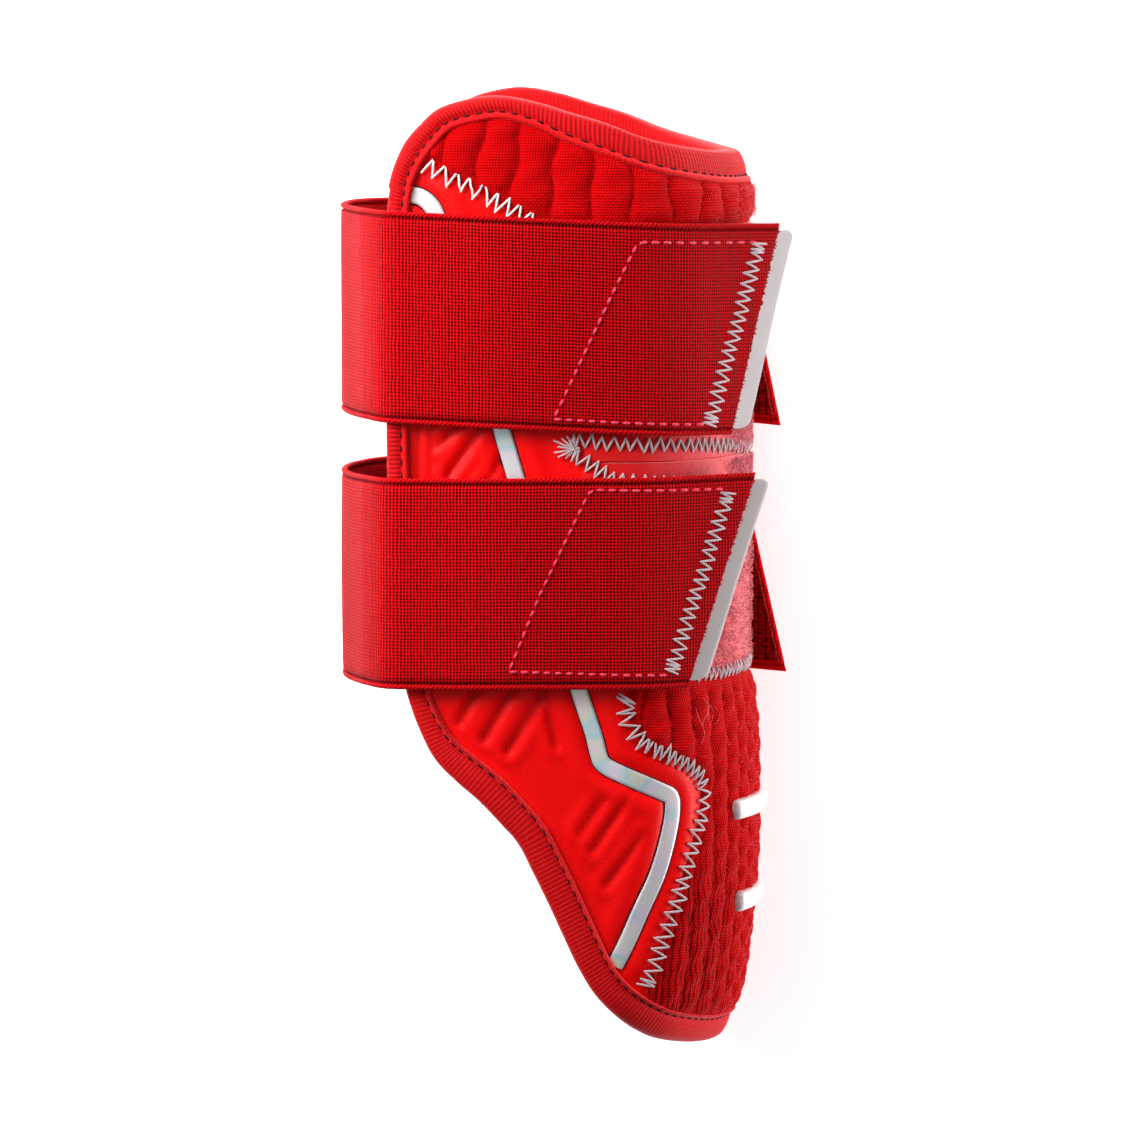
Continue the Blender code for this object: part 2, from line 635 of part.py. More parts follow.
def build_strap_tab(name, strap):
    """Satin pull tab, tucked under the near tip and standing out past it."""
    level = strap_levels(TAB_EDGE, 1.0 - 2.0 * TAB_EDGE)
    reach = np.array([TAB_REACH / math.sin(strap["lift"]), -TAB_TUCK])
    _, headings, x, z = strap_run(strap, 1, [1.0, 1.0], level, reach)
    y = strap_heights(strap, x, 1.0, level)
    outer, inner = offset_pair(x, y, z, headings[:1], -LAYER_GAP - TAB_THICKNESS, -LAYER_GAP)
    solid_between(name, outer[:, ::-1], inner[:, ::-1], "satin_tab")


def seat_on_floor(frame, built):
    """Move the guard so that its lowest point is at Z 0 under the middle of its footprint."""
    bpy.context.view_layer.update()
    graph = bpy.context.evaluated_depsgraph_get()
    corners = []
    for piece in built:
        shape = piece.evaluated_get(graph)
        corners.extend(shape.matrix_world @ Vector(corner) for corner in shape.bound_box)
    corners = np.array(corners)
    low = corners.min(axis=0)
    high = corners.max(axis=0)
    frame.location = (-(low[0] + high[0]) / 2.0, -(low[1] + high[1]) / 2.0, -low[2])
    bpy.context.view_layer.update()


def main():
    """Clear the scene and build every piece of the guard."""
    for old in list(bpy.data.objects):
        bpy.data.objects.remove(old, do_unlink=True)
    collection = bpy.data.collections.new("Baseball elbow guard")
    bpy.context.scene.collection.children.link(collection)
    frame = bpy.data.objects.new("guard_frame", None)
    collection.objects.link(frame)

    build_padded_shell()
    build_edge_binding()
    build_knit_panel_upper()
    build_knit_panel_lower()
    build_stripe("stripe_near", 1)
    build_stripe("stripe_far", -1)
    for place, bar in BARS.items():
        build_ridge_bar("ridge_bar_" + place, bar["mid"], bar["half_length"])
    for place, strap in STRAPS.items():
        low = strap["mid"] - STRAP_WIDTH / 2.0 + LOOP_INSET
        high = strap["mid"] + STRAP_WIDTH / 2.0 - LOOP_INSET
        build_loop_patch("loop_patch_" + place, LOOP_HALF, low, min(high, KNIT_UPPER_BASE - LAYER_GAP))
        build_strap("strap_" + place, strap)
        build_strap_tab("strap_tab_" + place, strap)
        build_hook_patch("hook_patch_near_" + place, strap, 1)
        build_hook_patch("hook_patch_far_" + place, strap, -1)

    seat_on_floor(frame, [piece for piece in collection.objects if piece.type == "MESH"])


main()
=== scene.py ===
"""Baseball elbow guard: covers, quilted knit, bound edge, woven straps, seams and pile.

Every surface of the pad is placed by arc length round its section, height along the arm and
distance out of the cover. Every surface of a strap is placed by distance along its run and level
across its width.
"""

import math

import bpy
import numpy as np
from mathutils import Matrix, Vector


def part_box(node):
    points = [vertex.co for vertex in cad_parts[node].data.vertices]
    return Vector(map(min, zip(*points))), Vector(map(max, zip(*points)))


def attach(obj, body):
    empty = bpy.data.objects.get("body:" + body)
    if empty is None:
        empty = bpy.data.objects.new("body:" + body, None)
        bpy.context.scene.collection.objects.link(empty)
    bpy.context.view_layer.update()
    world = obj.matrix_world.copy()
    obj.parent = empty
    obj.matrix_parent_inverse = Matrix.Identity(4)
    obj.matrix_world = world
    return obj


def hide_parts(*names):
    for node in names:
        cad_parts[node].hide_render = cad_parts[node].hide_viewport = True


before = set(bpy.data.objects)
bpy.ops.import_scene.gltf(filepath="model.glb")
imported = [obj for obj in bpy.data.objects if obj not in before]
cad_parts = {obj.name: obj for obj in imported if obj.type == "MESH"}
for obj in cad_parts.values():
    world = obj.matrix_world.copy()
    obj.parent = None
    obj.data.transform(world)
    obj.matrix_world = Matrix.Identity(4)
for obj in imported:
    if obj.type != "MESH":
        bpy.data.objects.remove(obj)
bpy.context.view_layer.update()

bl_info = {
    "name": "Baseball elbow guard",
    "version": (1, 0, 0),
    "blender": (4, 5, 0),
    "location": "View3D > Sidebar > Elbow guard",
    "description": "Builds the covers, binding, straps and stitching of a padded elbow guard",
    "category": "Add Mesh",
}

MM = 0.001

# Section of the cover and reach of its bound edge
RIDGE_X = 43.5 * MM
HALF_WIDTH = 44.0 * MM
SIDE_FRONT_X = 14.0 * MM
SIDE_BACK_X = -14.0 * MM
SHOULDER_RADIUS = 23.0 * MM
WING_BEND_RADIUS = 120.0 * MM
WING_LEAN = math.radians(5.0)
WING_ARC = 113.6 * MM
TOP_REACH = 116.9 * MM
BOTTOM_REACH = 114.9 * MM

# Layers
LAYER_GAP = 0.4 * MM
SHELL_THICKNESS = 8.0 * MM
SHELL_EDGE_THICKNESS = 3.4 * MM
SHELL_TAPER = 18.0 * MM
TAPE_THICKNESS = 0.8 * MM
STRAP_STANDOFF = 3.0 * MM
STRAP_THICKNESS = 1.6 * MM
STRAP_WIDTH = 50.8 * MM
STRAP_LEAN = math.radians(7.0)
STRAP_CORNER_RADIUS = 7.0 * MM
STRAP_BACK_X = -53.9 * MM
STRAP_BACK_ANGLE = math.radians(32.0)
FAR_RUN_FRONT_X = 24.0 * MM
FAR_LIFT = math.radians(62.0)
STRAP_END_REACH = 60.0 * MM

# Ridge setback as a share of RIDGE_X and width as a share of HALF_WIDTH, by height as a share of
# the reach above or below the middle
PROFILE = [
    # height, setback, width
    (-1.03, 0.200, 0.740),
    (-0.98, 0.138, 0.830),
    (-0.93, 0.085, 0.880),
    (-0.87, 0.044, 0.920),
    (-0.78, 0.011, 0.943),
    (-0.68, -0.016, 0.955),
    (-0.57, -0.034, 0.970),
    (-0.45, -0.034, 0.985),
    (-0.34, -0.028, 0.995),
    (-0.27, -0.010, 0.999),
    (-0.20, 0.000, 1.000),
    (0.00, 0.000, 1.000),
    (0.40, 0.000, 1.000),
    (0.76, 0.000, 1.000),
    (0.82, 0.021, 0.995),
    (0.87, 0.062, 0.988),
    (0.93, 0.126, 0.978),
    (1.00, 0.180, 0.970),
]

# Bound edge of one wing from the top of the ridge round to its foot
EDGE = [
    # arc, height, tape width in mm
    (0.000, 0.881, 7.8),
    (0.173, 0.884, 7.8),
    (0.311, 0.897, 7.9),
    (0.402, 0.915, 8.0),
    (0.477, 0.944, 8.0),
    (0.552, 0.967, 7.2),
    (0.614, 0.987, 6.0),
    (0.683, 1.000, 5.4),
    (0.744, 0.996, 5.3),
    (0.823, 0.975, 5.2),
    (0.879, 0.938, 5.2),
    (0.931, 0.895, 5.3),
    (0.973, 0.843, 5.4),
    (0.994, 0.790, 5.5),
    (1.000, 0.690, 5.5),
    (1.000, 0.480, 5.5),
    (0.999, 0.250, 5.5),
    (0.990, 0.040, 5.5),
    (0.975, -0.121, 5.5),
    (0.960, -0.222, 5.7),
    (0.935, -0.317, 6.6),
    (0.907, -0.373, 7.4),
    (0.863, -0.418, 8.0),
    (0.815, -0.459, 8.2),
    (0.768, -0.508, 8.2),
    (0.733, -0.548, 8.1),
    (0.701, -0.606, 8.0),
    (0.665, -0.670, 7.9),
    (0.624, -0.744, 7.8),
    (0.583, -0.813, 7.6),
    (0.542, -0.867, 7.4),
    (0.492, -0.910, 7.2),
    (0.430, -0.946, 7.1),
    (0.350, -0.973, 7.0),
    (0.206, -0.994, 6.9),
    (0.053, -1.000, 6.9),
    (0.000, -1.000, 6.9),
]

# Side of the lower knit panel: arc and height in mm
KNIT_SIDE = [
    # arc, height
    (55.4, -27.2),
    (56.4, -29.1),
    (55.9, -31.0),
    (55.4, -33.0),
    (54.6, -35.9),
    (52.1, -38.6),
    (48.9, -39.9),
    (45.8, -41.5),
    (42.0, -43.5),
    (38.5, -45.7),
    (36.4, -48.8),
    (36.0, -51.8),
    (36.4, -54.9),
    (37.5, -58.5),
    (39.2, -62.1),
    (40.5, -65.9),
    (42.1, -69.5),
    (43.1, -74.4),
    (45.2, -81.9),
    (47.2, -88.0),
    (48.3, -93.7),
    (49.7, -97.6),
]

# How far the pull tabs stand out of the strap ends, along X
TAB_REACH = 4.9 * MM

# Stripe's centre line on one wing: arc and height in mm
STRIPE = [
    # arc, height
    (108.4, 93.4),
    (105.2, 92.9),
    (102.6, 91.0),
    (100.9, 87.7),
    (97.3, 77.2),
    (84.9, 35.4),
    (82.3, 26.6),
    (66.9, -25.5),
    (63.5, -40.6),
    (62.6, -43.0),
    (60.6, -44.5),
    (55.0, -47.1),
    (47.8, -50.3),
    (45.7, -51.5),
    (45.3, -53.9),
    (46.0, -58.8),
    (49.0, -69.8),
    (52.6, -78.9),
    (55.4, -87.0),
    (57.6, -92.6),
]

# Pressed creases in the smooth cover of one wing
CREASES = [
    # arc and height of one end, arc and height of the other, half width, depth, all in mm
    (85.5, -17.0, 96.6, -33.6, 1.1, 0.75),
    (77.0, -17.0, 90.8, -37.4, 1.1, 0.75),
    (71.0, -20.0, 85.3, -40.3, 1.1, 0.75),
    (76.4, -20.0, 73.4, -38.6, 1.0, 0.55),
    (62.0, -51.4, 68.0, -60.1, 1.0, 0.50),
    (56.9, -51.9, 65.2, -64.3, 1.0, 0.55),
    (53.1, -60.6, 61.3, -72.6, 1.0, 0.55),
    (105.6, 15.0, 105.6, 48.0, 0.9, 0.55),
    (102.6, 15.0, 102.6, 48.0, 0.9, 0.55),
    (94.5, 39.5, 100.9, 33.0, 1.1, 0.60),
    (88.5, 40.0, 98.4, 26.0, 1.2, 0.75),
    (85.5, 30.0, 90.4, 22.0, 1.1, 0.60),
]

# Straps: middle height in mm, tilt of the near and far run, lift-off angle in degrees, and the X
# in mm of the near and far tip at the upper and lower corner
STRAPS = {
    "upper": dict(mid=62.4, near_tilt=0.042, far_tilt=0.062, lift=40.0,
                  near_tips=(51.7, 40.6), far_tips=(39.0, 50.0)),
    "lower": dict(mid=0.4, near_tilt=-0.010, far_tilt=0.030, lift=57.0,
                  near_tips=(46.9, 31.0), far_tips=(39.6, 51.6)),
}

# Straight stitching and zigzag on the near run of each strap, as X and Y in mm
STRAP_STITCHES = {
    "upper": dict(box=[(46.0, 81.3), (20.8, 82.3), (19.2, 81.4), (-0.1, 40.0), (36.0, 38.2)],
                  zigzag=[(46.7, 81.2), (35.2, 37.9)]),
    "lower": dict(box=[(39.0, 22.6), (9.6, 23.1), (8.2, 22.2), (-3.5, -2.2), (-10.9, -20.7),
                       (27.5, -21.6)],
                  zigzag=[(40.3, 21.8), (26.9, -20.9)]),
}

# Zigzag seams on the pad: points as arc and height in mm, tooth pitch, tooth width, thread
SEAMS = {
    "knit_upper": dict(line=[(101.8, 100.6), (95.0, 96.8), (88.0, 92.9), (81.7, 89.3),
                             (77.3, 87.0)],
                       pitch=3.15, width=4.7, thread="white", mirror="both"),
    "knit_ridge": dict(line=[(76.0, 86.0), (66.0, 84.2), (40.0, 83.2), (0.0, 83.2)],
                       pitch=3.0, width=2.6, thread="white", mirror="joined"),
    "loop_upper": dict(line=[(68.5, 34.6), (52.0, 33.6), (35.7, 33.0), (16.0, 31.6), (0.0, 30.6)],
                       pitch=2.8, width=3.2, thread="grey", mirror="joined"),
    "loop_lower": dict(line=[(68.9, 31.9), (64.5, 29.0), (60.5, 26.4), (54.6, 24.7), (35.6, 23.2),
                             (0.0, 21.2)],
                       pitch=2.6, width=3.6, thread="grey", mirror="joined"),
    "loop_foot": dict(line=[(50.0, -21.4), (40.0, -21.9), (28.6, -22.6), (0.0, -22.0)],
                      pitch=2.4, width=3.0, thread="grey", mirror="joined"),
    "knit_lower": dict(line=KNIT_SIDE, pitch=2.65, width=4.2, thread="grey", mirror="both"),
}

# Star of the seams' first stitches: angle in degrees and length in mm of each ray
STAR = [(172.0, 4.2), (158.0, 5.4), (190.0, 5.0), (206.0, 4.4), (140.0, 4.0), (120.0, 3.6)]

# Needle hole that the rays start from: arc and height in mm
STAR_HOLE = (67.8, 32.6)

# Raised bars: middle height and half length in mm
BARS = {
    "upper": dict(mid=-56.5, half_length=25.0),
    "lower": dict(mid=-79.5, half_length=21.0),
}

# Loop patches: lowest and highest height in mm, and the seed of the pile
LOOP_PATCHES = {
    "upper": dict(low=29.7, high=85.2, seed=5),
    "lower": dict(low=-23.2, high=29.3, seed=6),
}
LOOP_HALF = 66.0 * MM

# Number and radius of the pile's loops, the knit's loose fibres and a strap's frayed ends
LOOP_COUNT = 6400
LOOP_RADIUS = 0.075 * MM
FIBRE_COUNT = 2600
FIBRE_RADIUS = 0.035 * MM
FRAY_COUNT = 260

# Top of the lower knit panel
KNIT_LOWER_TOP = -23.9 * MM

# Heights over the cover, and of the underside of what lies on it
KNIT_BASE = 0.75 * MM
KNIT_FOOT = -0.25 * MM
SEAM_BASE = 1.0 * MM
STITCH_BASE = 0.9 * STRAP_THICKNESS

# The tape's stitch line is this far in mm inside the tape's inner edge
TAPE_STITCH = 1.52

# Section of the tape, from its inner edge over the rim to the lining
TAPE_PROFILE = [
    # share of the width, distance in from there in mm, distance out in mm, share of the ribs'
    # depth. A distance out under -1.5 lies on the lining's side. The rows under 0 of the last
    # column are the rolled lip, which has its own cords.
    (1.0, 0.10, 0.05, 0.0),
    (1.0, 0.22, 0.95, -0.2),
    (1.0, 0.02, 1.62, -0.35),
    (1.0, -0.45, 1.92, -0.4),
    (1.0, -0.95, 1.70, -0.35),
    (1.0, -1.30, 1.10, -0.2),
    (1.0, -TAPE_STITCH, 0.78, 0.0),
    (1.0, -1.78, 0.95, 0.5),
    (1.0, -2.20, 1.22, 1.0),
    (0.62, -0.6, 1.42, 1.0),
    (0.40, 0.0, 1.48, 1.0),
    (0.20, 0.1, 1.36, 1.0),
    (0.0, 0.85, 1.18, 1.0),
    (0.0, 0.30, 0.62, 1.0),
    (0.0, 0.02, -1.0, 1.0),
    (0.0, 0.0, -2.0, 1.0),
    (0.0, 0.32, -4.2, 1.0),
    (0.0, 1.10, -4.75, 0.6),
    (0.55, 0.0, -5.0, 0.4),
    (1.0, -0.4, -5.0, 0.2),
    (1.0, 0.0, -4.4, 0.0),
    (0.55, 0.0, -3.9, 0.0),
    (0.0, 0.95, -2.6, 0.0),
    (0.0, 0.95, 0.02, 0.0),
]

# Studio lights: place from the guard's middle and size in metres, power in watts, colour
LIGHTS = {
    "key": ((-0.28, 0.25, 0.28), (0.26, 0.26), 3.5, (1.0, 1.0, 1.0)),
    "fill": ((-0.3, 0.1, 1.7), (1.2, 1.2), 4.0, (1.0, 1.0, 1.0)),
    "top": ((-0.05, 0.75, 0.22), (0.4, 0.2), 3.0, (1.0, 1.0, 1.0)),
    "rim": ((0.60, -0.02, 0.03), (0.5, 0.14), 3.8, (1.0, 0.92, 0.95)),
}
WORLD_STRENGTH = 0.17
FLOOR_GLOW = 0.62
FLOOR_HALF = 3.0

# Camera: distance, swing to the right and tip up from the straight view of the near wing
CAMERA_AWAY = 1.9
CAMERA_SWING = math.radians(4.0)
CAMERA_TIP = math.radians(5.0)
IMAGE_WIDTH = 1137.0
PIXEL_SIZE = 0.2454 * MM


def guard_shift():
    """Offset from the pad's own axes to the floor frame, read from the boxes of two nodes."""
    strap_low, strap_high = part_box("strap_upper")
    tape_low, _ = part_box("edge_binding")
    return np.array([strap_low[0] - (STRAP_BACK_X - STRAP_THICKNESS),
                     tape_low[1] + BOTTOM_REACH,
                     (strap_low[2] + strap_high[2]) / 2.0])


SHIFT = guard_shift()


# ---- settings --------------------------------------------------------------------------------


def length(label, text, default):
    """A length property in metres."""
    return bpy.props.FloatProperty(name=label, description=text, default=default, unit="LENGTH",
                                   precision=5)


def colour(label, text, default):
    """A colour property, linear."""
    return bpy.props.FloatVectorProperty(name=label, description=text, default=default,
                                         subtype="COLOR", size=3, min=0.0, max=1.0)


class GuardSizes(bpy.types.PropertyGroup):
    """Sizes of the fine detail."""
    rib_pitch: length("Rib pitch", "Distance between two ribs of the binding tape", 1.08 * MM)
    rib_depth: length("Rib depth", "Depth of the furrow between two ribs", 0.20 * MM)
    yarn_pitch: length("Yarn pitch", "Distance between two yarns of the straps", 0.80 * MM)
    knit_pitch: length("Knit pitch", "Distance between two stitches of the knit", 0.66 * MM)
    quilt_pitch: length("Quilt pitch", "Width of a quilted cell", 9.6 * MM)
    quilt_rise: length("Quilt rise", "Height of a quilted cell over its groove", 1.5 * MM)
    pile_length: length("Pile length", "Height of a loop of the fastener's pile", 0.75 * MM)
    thread_radius: length("Thread radius", "Radius of the seam thread", 0.30 * MM)
    stripe_width: length("Stripe width", "Width of the inlaid stripe", 4.5 * MM)
    bar_width: length("Bar width", "Width of a raised bar", 5.0 * MM)


class GuardColours(bpy.types.PropertyGroup):
    """Colours of the finishes."""
    cover: colour("Smooth cover", "Coated cover of the wings", (0.76, 0.0004, 0.001))
    tape: colour("Tape", "Binding tape", (0.50, 0.002, 0.004))
    knit: colour("Knit", "Quilted knit", (0.50, 0.001, 0.002))
    elastic: colour("Elastic", "Woven straps", (0.40, 0.002, 0.004))
    pile: colour("Pile", "Loop pile", (0.79, 0.25, 0.28))
    lining: colour("Lining", "Cloth inside the pad", (0.10, 0.004, 0.006))
    hooks: colour("Hooks", "Hook fastener", (0.30, 0.001, 0.002))
    white_thread: colour("White thread", "Thread of the upper seam", (0.74, 0.70, 0.70))
    grey_thread: colour("Grey thread", "Thread of the other seams", (0.45, 0.36, 0.38))
    pink_thread: colour("Pink thread", "Straight stitching of the straps", (0.74, 0.015, 0.07))
    silver: colour("Silver", "Film of the stripe", (0.58, 0.58, 0.59))
    satin: colour("Satin", "Pull tabs", (0.385, 0.37, 0.365))
    fuzz: colour("Fuzz", "Loose fibres of the knit", (0.76, 0.10, 0.13))
    # Painted shade: near black, for the shaded stitch holes along the tape
    tape_thread: colour("Tape thread", "Stitching of the tape", (0.03, 0.0, 0.001))
    outline: colour("Outline", "Shadow round the stripe", (0.05, 0.0, 0.002))
    bar: colour("Bar", "Raised bars", (0.66, 0.66, 0.66))
    floor: colour("Floor", "Studio floor", (0.92, 0.92, 0.92))


# ---- surfaces of the guard -------------------------------------------------------------------


def unit(value):
    """A value kept between 0 and 1."""
    return np.clip(value, 0.0, 1.0)


def round_over(share):
    """Quarter circle: 0 at a share of 0 and 1 from a share of 1."""
    return np.sqrt(1.0 - (1.0 - unit(share)) ** 2)


def rise(share):
    """Height in metres from a share of the reach above or below the middle."""
    share = np.asarray(share, dtype=float)
    return np.where(share >= 0.0, share * TOP_REACH, share * BOTTOM_REACH)


def smooth_line(rows, steps):
    """Catmull-Rom curve through the rows: cubic spans whose slope at a row is half the way from
    the row before it to the row after it."""
    rows = np.asarray(rows, dtype=float)
    ends = np.vstack([2.0 * rows[0] - rows[1], rows, 2.0 * rows[-1] - rows[-2]])
    before, start, end, after = (part[:, None, :] for part in
                                 (ends[:-3], ends[1:-2], ends[2:-1], ends[3:]))
    t = (np.arange(steps) / steps)[None, :, None]
    curve = 0.5 * (2.0 * start + (end - before) * t
                   + (2.0 * before - 5.0 * start + 4.0 * end - after) * t ** 2
                   + (3.0 * start - before - 3.0 * end + after) * t ** 3)
    return np.vstack([curve.reshape(-1, rows.shape[1]), rows[-1]])


def evenly(points, step):
    """Points at equal distances along a line, its end points kept."""
    steps = np.linalg.norm(np.diff(points[:, :2], axis=0), axis=1)
    away = np.concatenate([[0.0], np.cumsum(steps)])
    count = max(int(round(away[-1] / step)), 1)
    stations = np.linspace(0.0, away[-1], count + 1)
    return np.column_stack([np.interp(stations, away, column) for column in points.T])


def square_to(line):
    """Unit direction to the left of a flat line at each of its points."""
    run = np.gradient(line, axis=0)
    run = run / np.linalg.norm(run, axis=1, keepdims=True)
    return np.column_stack([-run[:, 1], run[:, 0]])


def section(arc):
    """X, Z and outward angle round the section: a wide arc over the ridge, a tight one over each
    shoulder, a straight side, a slow bend and a straight wing that leans in."""
    depth = RIDGE_X - SIDE_FRONT_X
    height = HALF_WIDTH - SHOULDER_RADIUS
    radius = (depth ** 2 + height ** 2 - SHOULDER_RADIUS ** 2) / (2.0 * (depth - SHOULDER_RADIUS))
    centre = RIDGE_X - radius
    turn = math.atan2(height, SIDE_FRONT_X - centre)
    reach = np.abs(arc)
    on_ridge = np.minimum(reach, radius * turn) / radius
    reach = reach - radius * turn
    on_shoulder = np.clip(reach / SHOULDER_RADIUS, 0.0, math.pi / 2.0 - turn)
    reach = reach - SHOULDER_RADIUS * (math.pi / 2.0 - turn)
    on_side = np.clip(reach, 0.0, SIDE_FRONT_X - SIDE_BACK_X)
    reach = reach - (SIDE_FRONT_X - SIDE_BACK_X)
    on_bend = np.clip(reach / WING_BEND_RADIUS, 0.0, WING_LEAN)
    on_wing = np.maximum(reach - WING_BEND_RADIUS * WING_LEAN, 0.0)
    angle = turn + on_shoulder
    x = (centre + radius * np.cos(on_ridge) + SHOULDER_RADIUS * (np.cos(angle) - math.cos(turn))
         - on_side - WING_BEND_RADIUS * np.sin(on_bend) - on_wing * math.cos(WING_LEAN))
    z = (radius * np.sin(on_ridge) + SHOULDER_RADIUS * (np.sin(angle) - math.sin(turn))
         - WING_BEND_RADIUS * (1.0 - np.cos(on_bend)) - on_wing * math.sin(WING_LEAN))
    return x, z * np.sign(arc), (on_ridge + on_shoulder + on_bend) * np.sign(arc)


SHAPE = smooth_line(PROFILE, 16)
SHAPE_HEIGHT = rise(SHAPE[:, 0])


def pad_frame(arc, height):
    """Point on the cover and unit normal there: the section set back and narrowed by height."""
    arc, height = np.broadcast_arrays(np.asarray(arc, dtype=float), np.asarray(height, dtype=float))
    setback = np.interp(height, SHAPE_HEIGHT, SHAPE[:, 1]) * RIDGE_X
    width = np.interp(height, SHAPE_HEIGHT, SHAPE[:, 2])
    x, z, angle = section(arc)
    normal = np.stack([width * np.cos(angle), 0.0 * x, np.sin(angle)], axis=-1)
    normal = normal / np.linalg.norm(normal, axis=-1, keepdims=True)
    return np.stack([x - setback, height, z * width], axis=-1), normal


def over_pad(arc, height, out):
    """Point at a distance out of the cover along its normal, and the normal."""
    point, normal = pad_frame(arc, height)
    return point + normal * np.asarray(out)[..., None], normal


def on_pad(arc, height, out):
    """The point of over_pad alone."""
    return over_pad(arc, height, out)[0]


def over_seam(arc, height, out):
    """Point and normal at a distance over the seams' base."""
    return over_pad(arc, height, SEAM_BASE + out)


def edge_curve(steps=12):
    """Arc, height and tape width along the near wing's edge, from ridge top to ridge foot."""
    curve = smooth_line(EDGE, steps)
    return np.column_stack([curve[:, 0] * WING_ARC, rise(curve[:, 1]), curve[:, 2] * MM])


def inward(curve):
    """Unit direction into the pad, square to the edge, at each point of the near wing's edge."""
    direction = -square_to(curve[:, :2])
    direction[0] = (0.0, -1.0)
    direction[-1] = (0.0, 1.0)
    return direction


def limits(arc, inset, with_tape=False):
    """Lowest and highest height at each arc, that far inside the bound edge."""
    curve = edge_curve()
    depth = inset + (curve[:, 2] if with_tape else 0.0)
    line = curve[:, :2] + inward(curve) * np.reshape(depth + np.zeros(len(curve)), (-1, 1))
    turn = int(np.argmax(line[:, 0]))
    foot = line[turn:][::-1]
    reach = np.minimum(np.abs(arc), line[turn, 0])
    return (np.interp(reach, foot[:, 0], foot[:, 1]),
            np.interp(reach, line[:turn + 1, 0], line[:turn + 1, 1]))


def from_line(arc, height, line):
    """Distance of each point from a line given as arc and height, the nearer wing counting."""
    best = np.full(np.shape(arc), 1.0)
    for start, end in zip(line[:-1], line[1:]):
        way = end - start
        across, up = np.abs(arc) - start[0], height - start[1]
        share = unit((across * way[0] + up * way[1]) / (way @ way))
        best = np.minimum(best, np.hypot(across - share * way[0], up - share * way[1]))
    return best


def shell_depth(away):
    """Thickness of the pad at a distance in from the bound edge: thin, then a smooth swell."""
    swell = unit((away - TAPE_THICKNESS - LAYER_GAP) / SHELL_TAPER)
    swell = swell * swell * (3.0 - 2.0 * swell)
    return SHELL_EDGE_THICKNESS + (SHELL_THICKNESS - SHELL_EDGE_THICKNESS) * swell


def strap_trace(strap, side):
    """Inner face of half a strap: distance along it, X, Z and heading. It is straight from the
    tip to the shoulder, follows the pad at its standoff, turns a tight corner and crosses the
    back on a wide arc. Distance is 0 where it leaves the shoulder and negative on the tip."""
    lift = math.radians(strap["lift"]) if side > 0 else FAR_LIFT
    front = SIDE_FRONT_X if side > 0 else FAR_RUN_FRONT_X
    radius = SHOULDER_RADIUS + STRAP_STANDOFF
    bend_radius = WING_BEND_RADIUS + STRAP_STANDOFF
    x = front + radius * math.cos(lift)
    z = HALF_WIDTH - SHOULDER_RADIUS + radius * math.sin(lift)
    lean_end = math.pi + STRAP_LEAN
    back_start = 1.5 * math.pi - STRAP_BACK_ANGLE
    bend_x = SIDE_BACK_X - bend_radius * math.sin(STRAP_LEAN)
    bend_z = HALF_WIDTH + STRAP_STANDOFF - bend_radius * (1.0 - math.cos(STRAP_LEAN))
    corner_x = STRAP_CORNER_RADIUS * (math.sin(back_start) - math.sin(lean_end))
    corner_z = STRAP_CORNER_RADIUS * (math.cos(lean_end) - math.cos(back_start))
    unknowns = np.array([[math.cos(lean_end), -1.0 - math.sin(back_start)],
                         [math.sin(lean_end), math.cos(back_start)]])
    wing, back_radius = np.linalg.solve(unknowns, [STRAP_BACK_X - bend_x - corner_x,
                                                   -bend_z - corner_z])
    heading = lift + math.pi / 2.0
    line = [(-STRAP_END_REACH, x - STRAP_END_REACH * math.cos(heading),
             z - STRAP_END_REACH * math.sin(heading), heading),
            (0.0, x, z, heading)]
    gone = 0.0
    for run, turn in ((radius * (math.pi / 2.0 - lift), math.pi / 2.0 - lift),
                      (front - SIDE_BACK_X, 0.0),
                      (bend_radius * STRAP_LEAN, STRAP_LEAN),
                      (wing, 0.0),
                      (STRAP_CORNER_RADIUS * (back_start - lean_end), back_start - lean_end),
                      (back_radius * STRAP_BACK_ANGLE, STRAP_BACK_ANGLE)):
        for share in np.linspace(0.0, 1.0, 25)[1:]:
            angle = heading + turn * share
            if turn:
                step_x = run / turn * (math.sin(angle) - math.sin(heading))
                step_z = run / turn * (math.cos(heading) - math.cos(angle))
            else:
                step_x = run * share * math.cos(heading)
                step_z = run * share * math.sin(heading)
            line.append((gone + run * share, x + step_x, z + step_z, angle))
        _, x, z, heading = line[-1]
        gone += run
    return np.array(line)


def strap_height(strap, x, side, level):
    """Height across a strap's width, tilted along its run."""
    near = -strap["near_tilt"] * x
    far = -strap["near_tilt"] * STRAP_BACK_X - strap["far_tilt"] * (x - STRAP_BACK_X)
    return strap["mid"] * MM + STRAP_WIDTH * (level - 0.5) + (near if side > 0 else far)


def on_strap_run(strap, side, run, level, out):
    """Point and normal on a strap at a distance along its run, a level across it and out of it."""
    trace = strap_trace(strap, side)
    x, z, heading = (np.interp(run, trace[:, 0], trace[:, k]) for k in (1, 2, 3))
    normal = np.stack([np.sin(heading), 0.0 * x, -np.cos(heading) * side], axis=-1)
    y = strap_height(strap, x, side, level)
    point = np.stack([x, y, z * side], axis=-1)
    return point + normal * np.asarray(out)[..., None], normal


def strap_run_at(strap, x):
    """Distance along the near run of a strap at an X."""
    trace = strap_trace(strap, 1)
    front = trace[trace[:, 1] > STRAP_BACK_X + 12.0 * MM][::-1]
    return np.interp(x, front[:, 1], front[:, 0])


def on_near_run(strap, x, y, out):
    """Point and normal on the near run of a strap at an X and Y."""
    run = strap_run_at(strap, x)
    level = (y - strap["mid"] * MM + strap["near_tilt"] * x) / STRAP_WIDTH + 0.5
    return on_strap_run(strap, 1, run, level, out)


# ---- meshes ----------------------------------------------------------------------------------


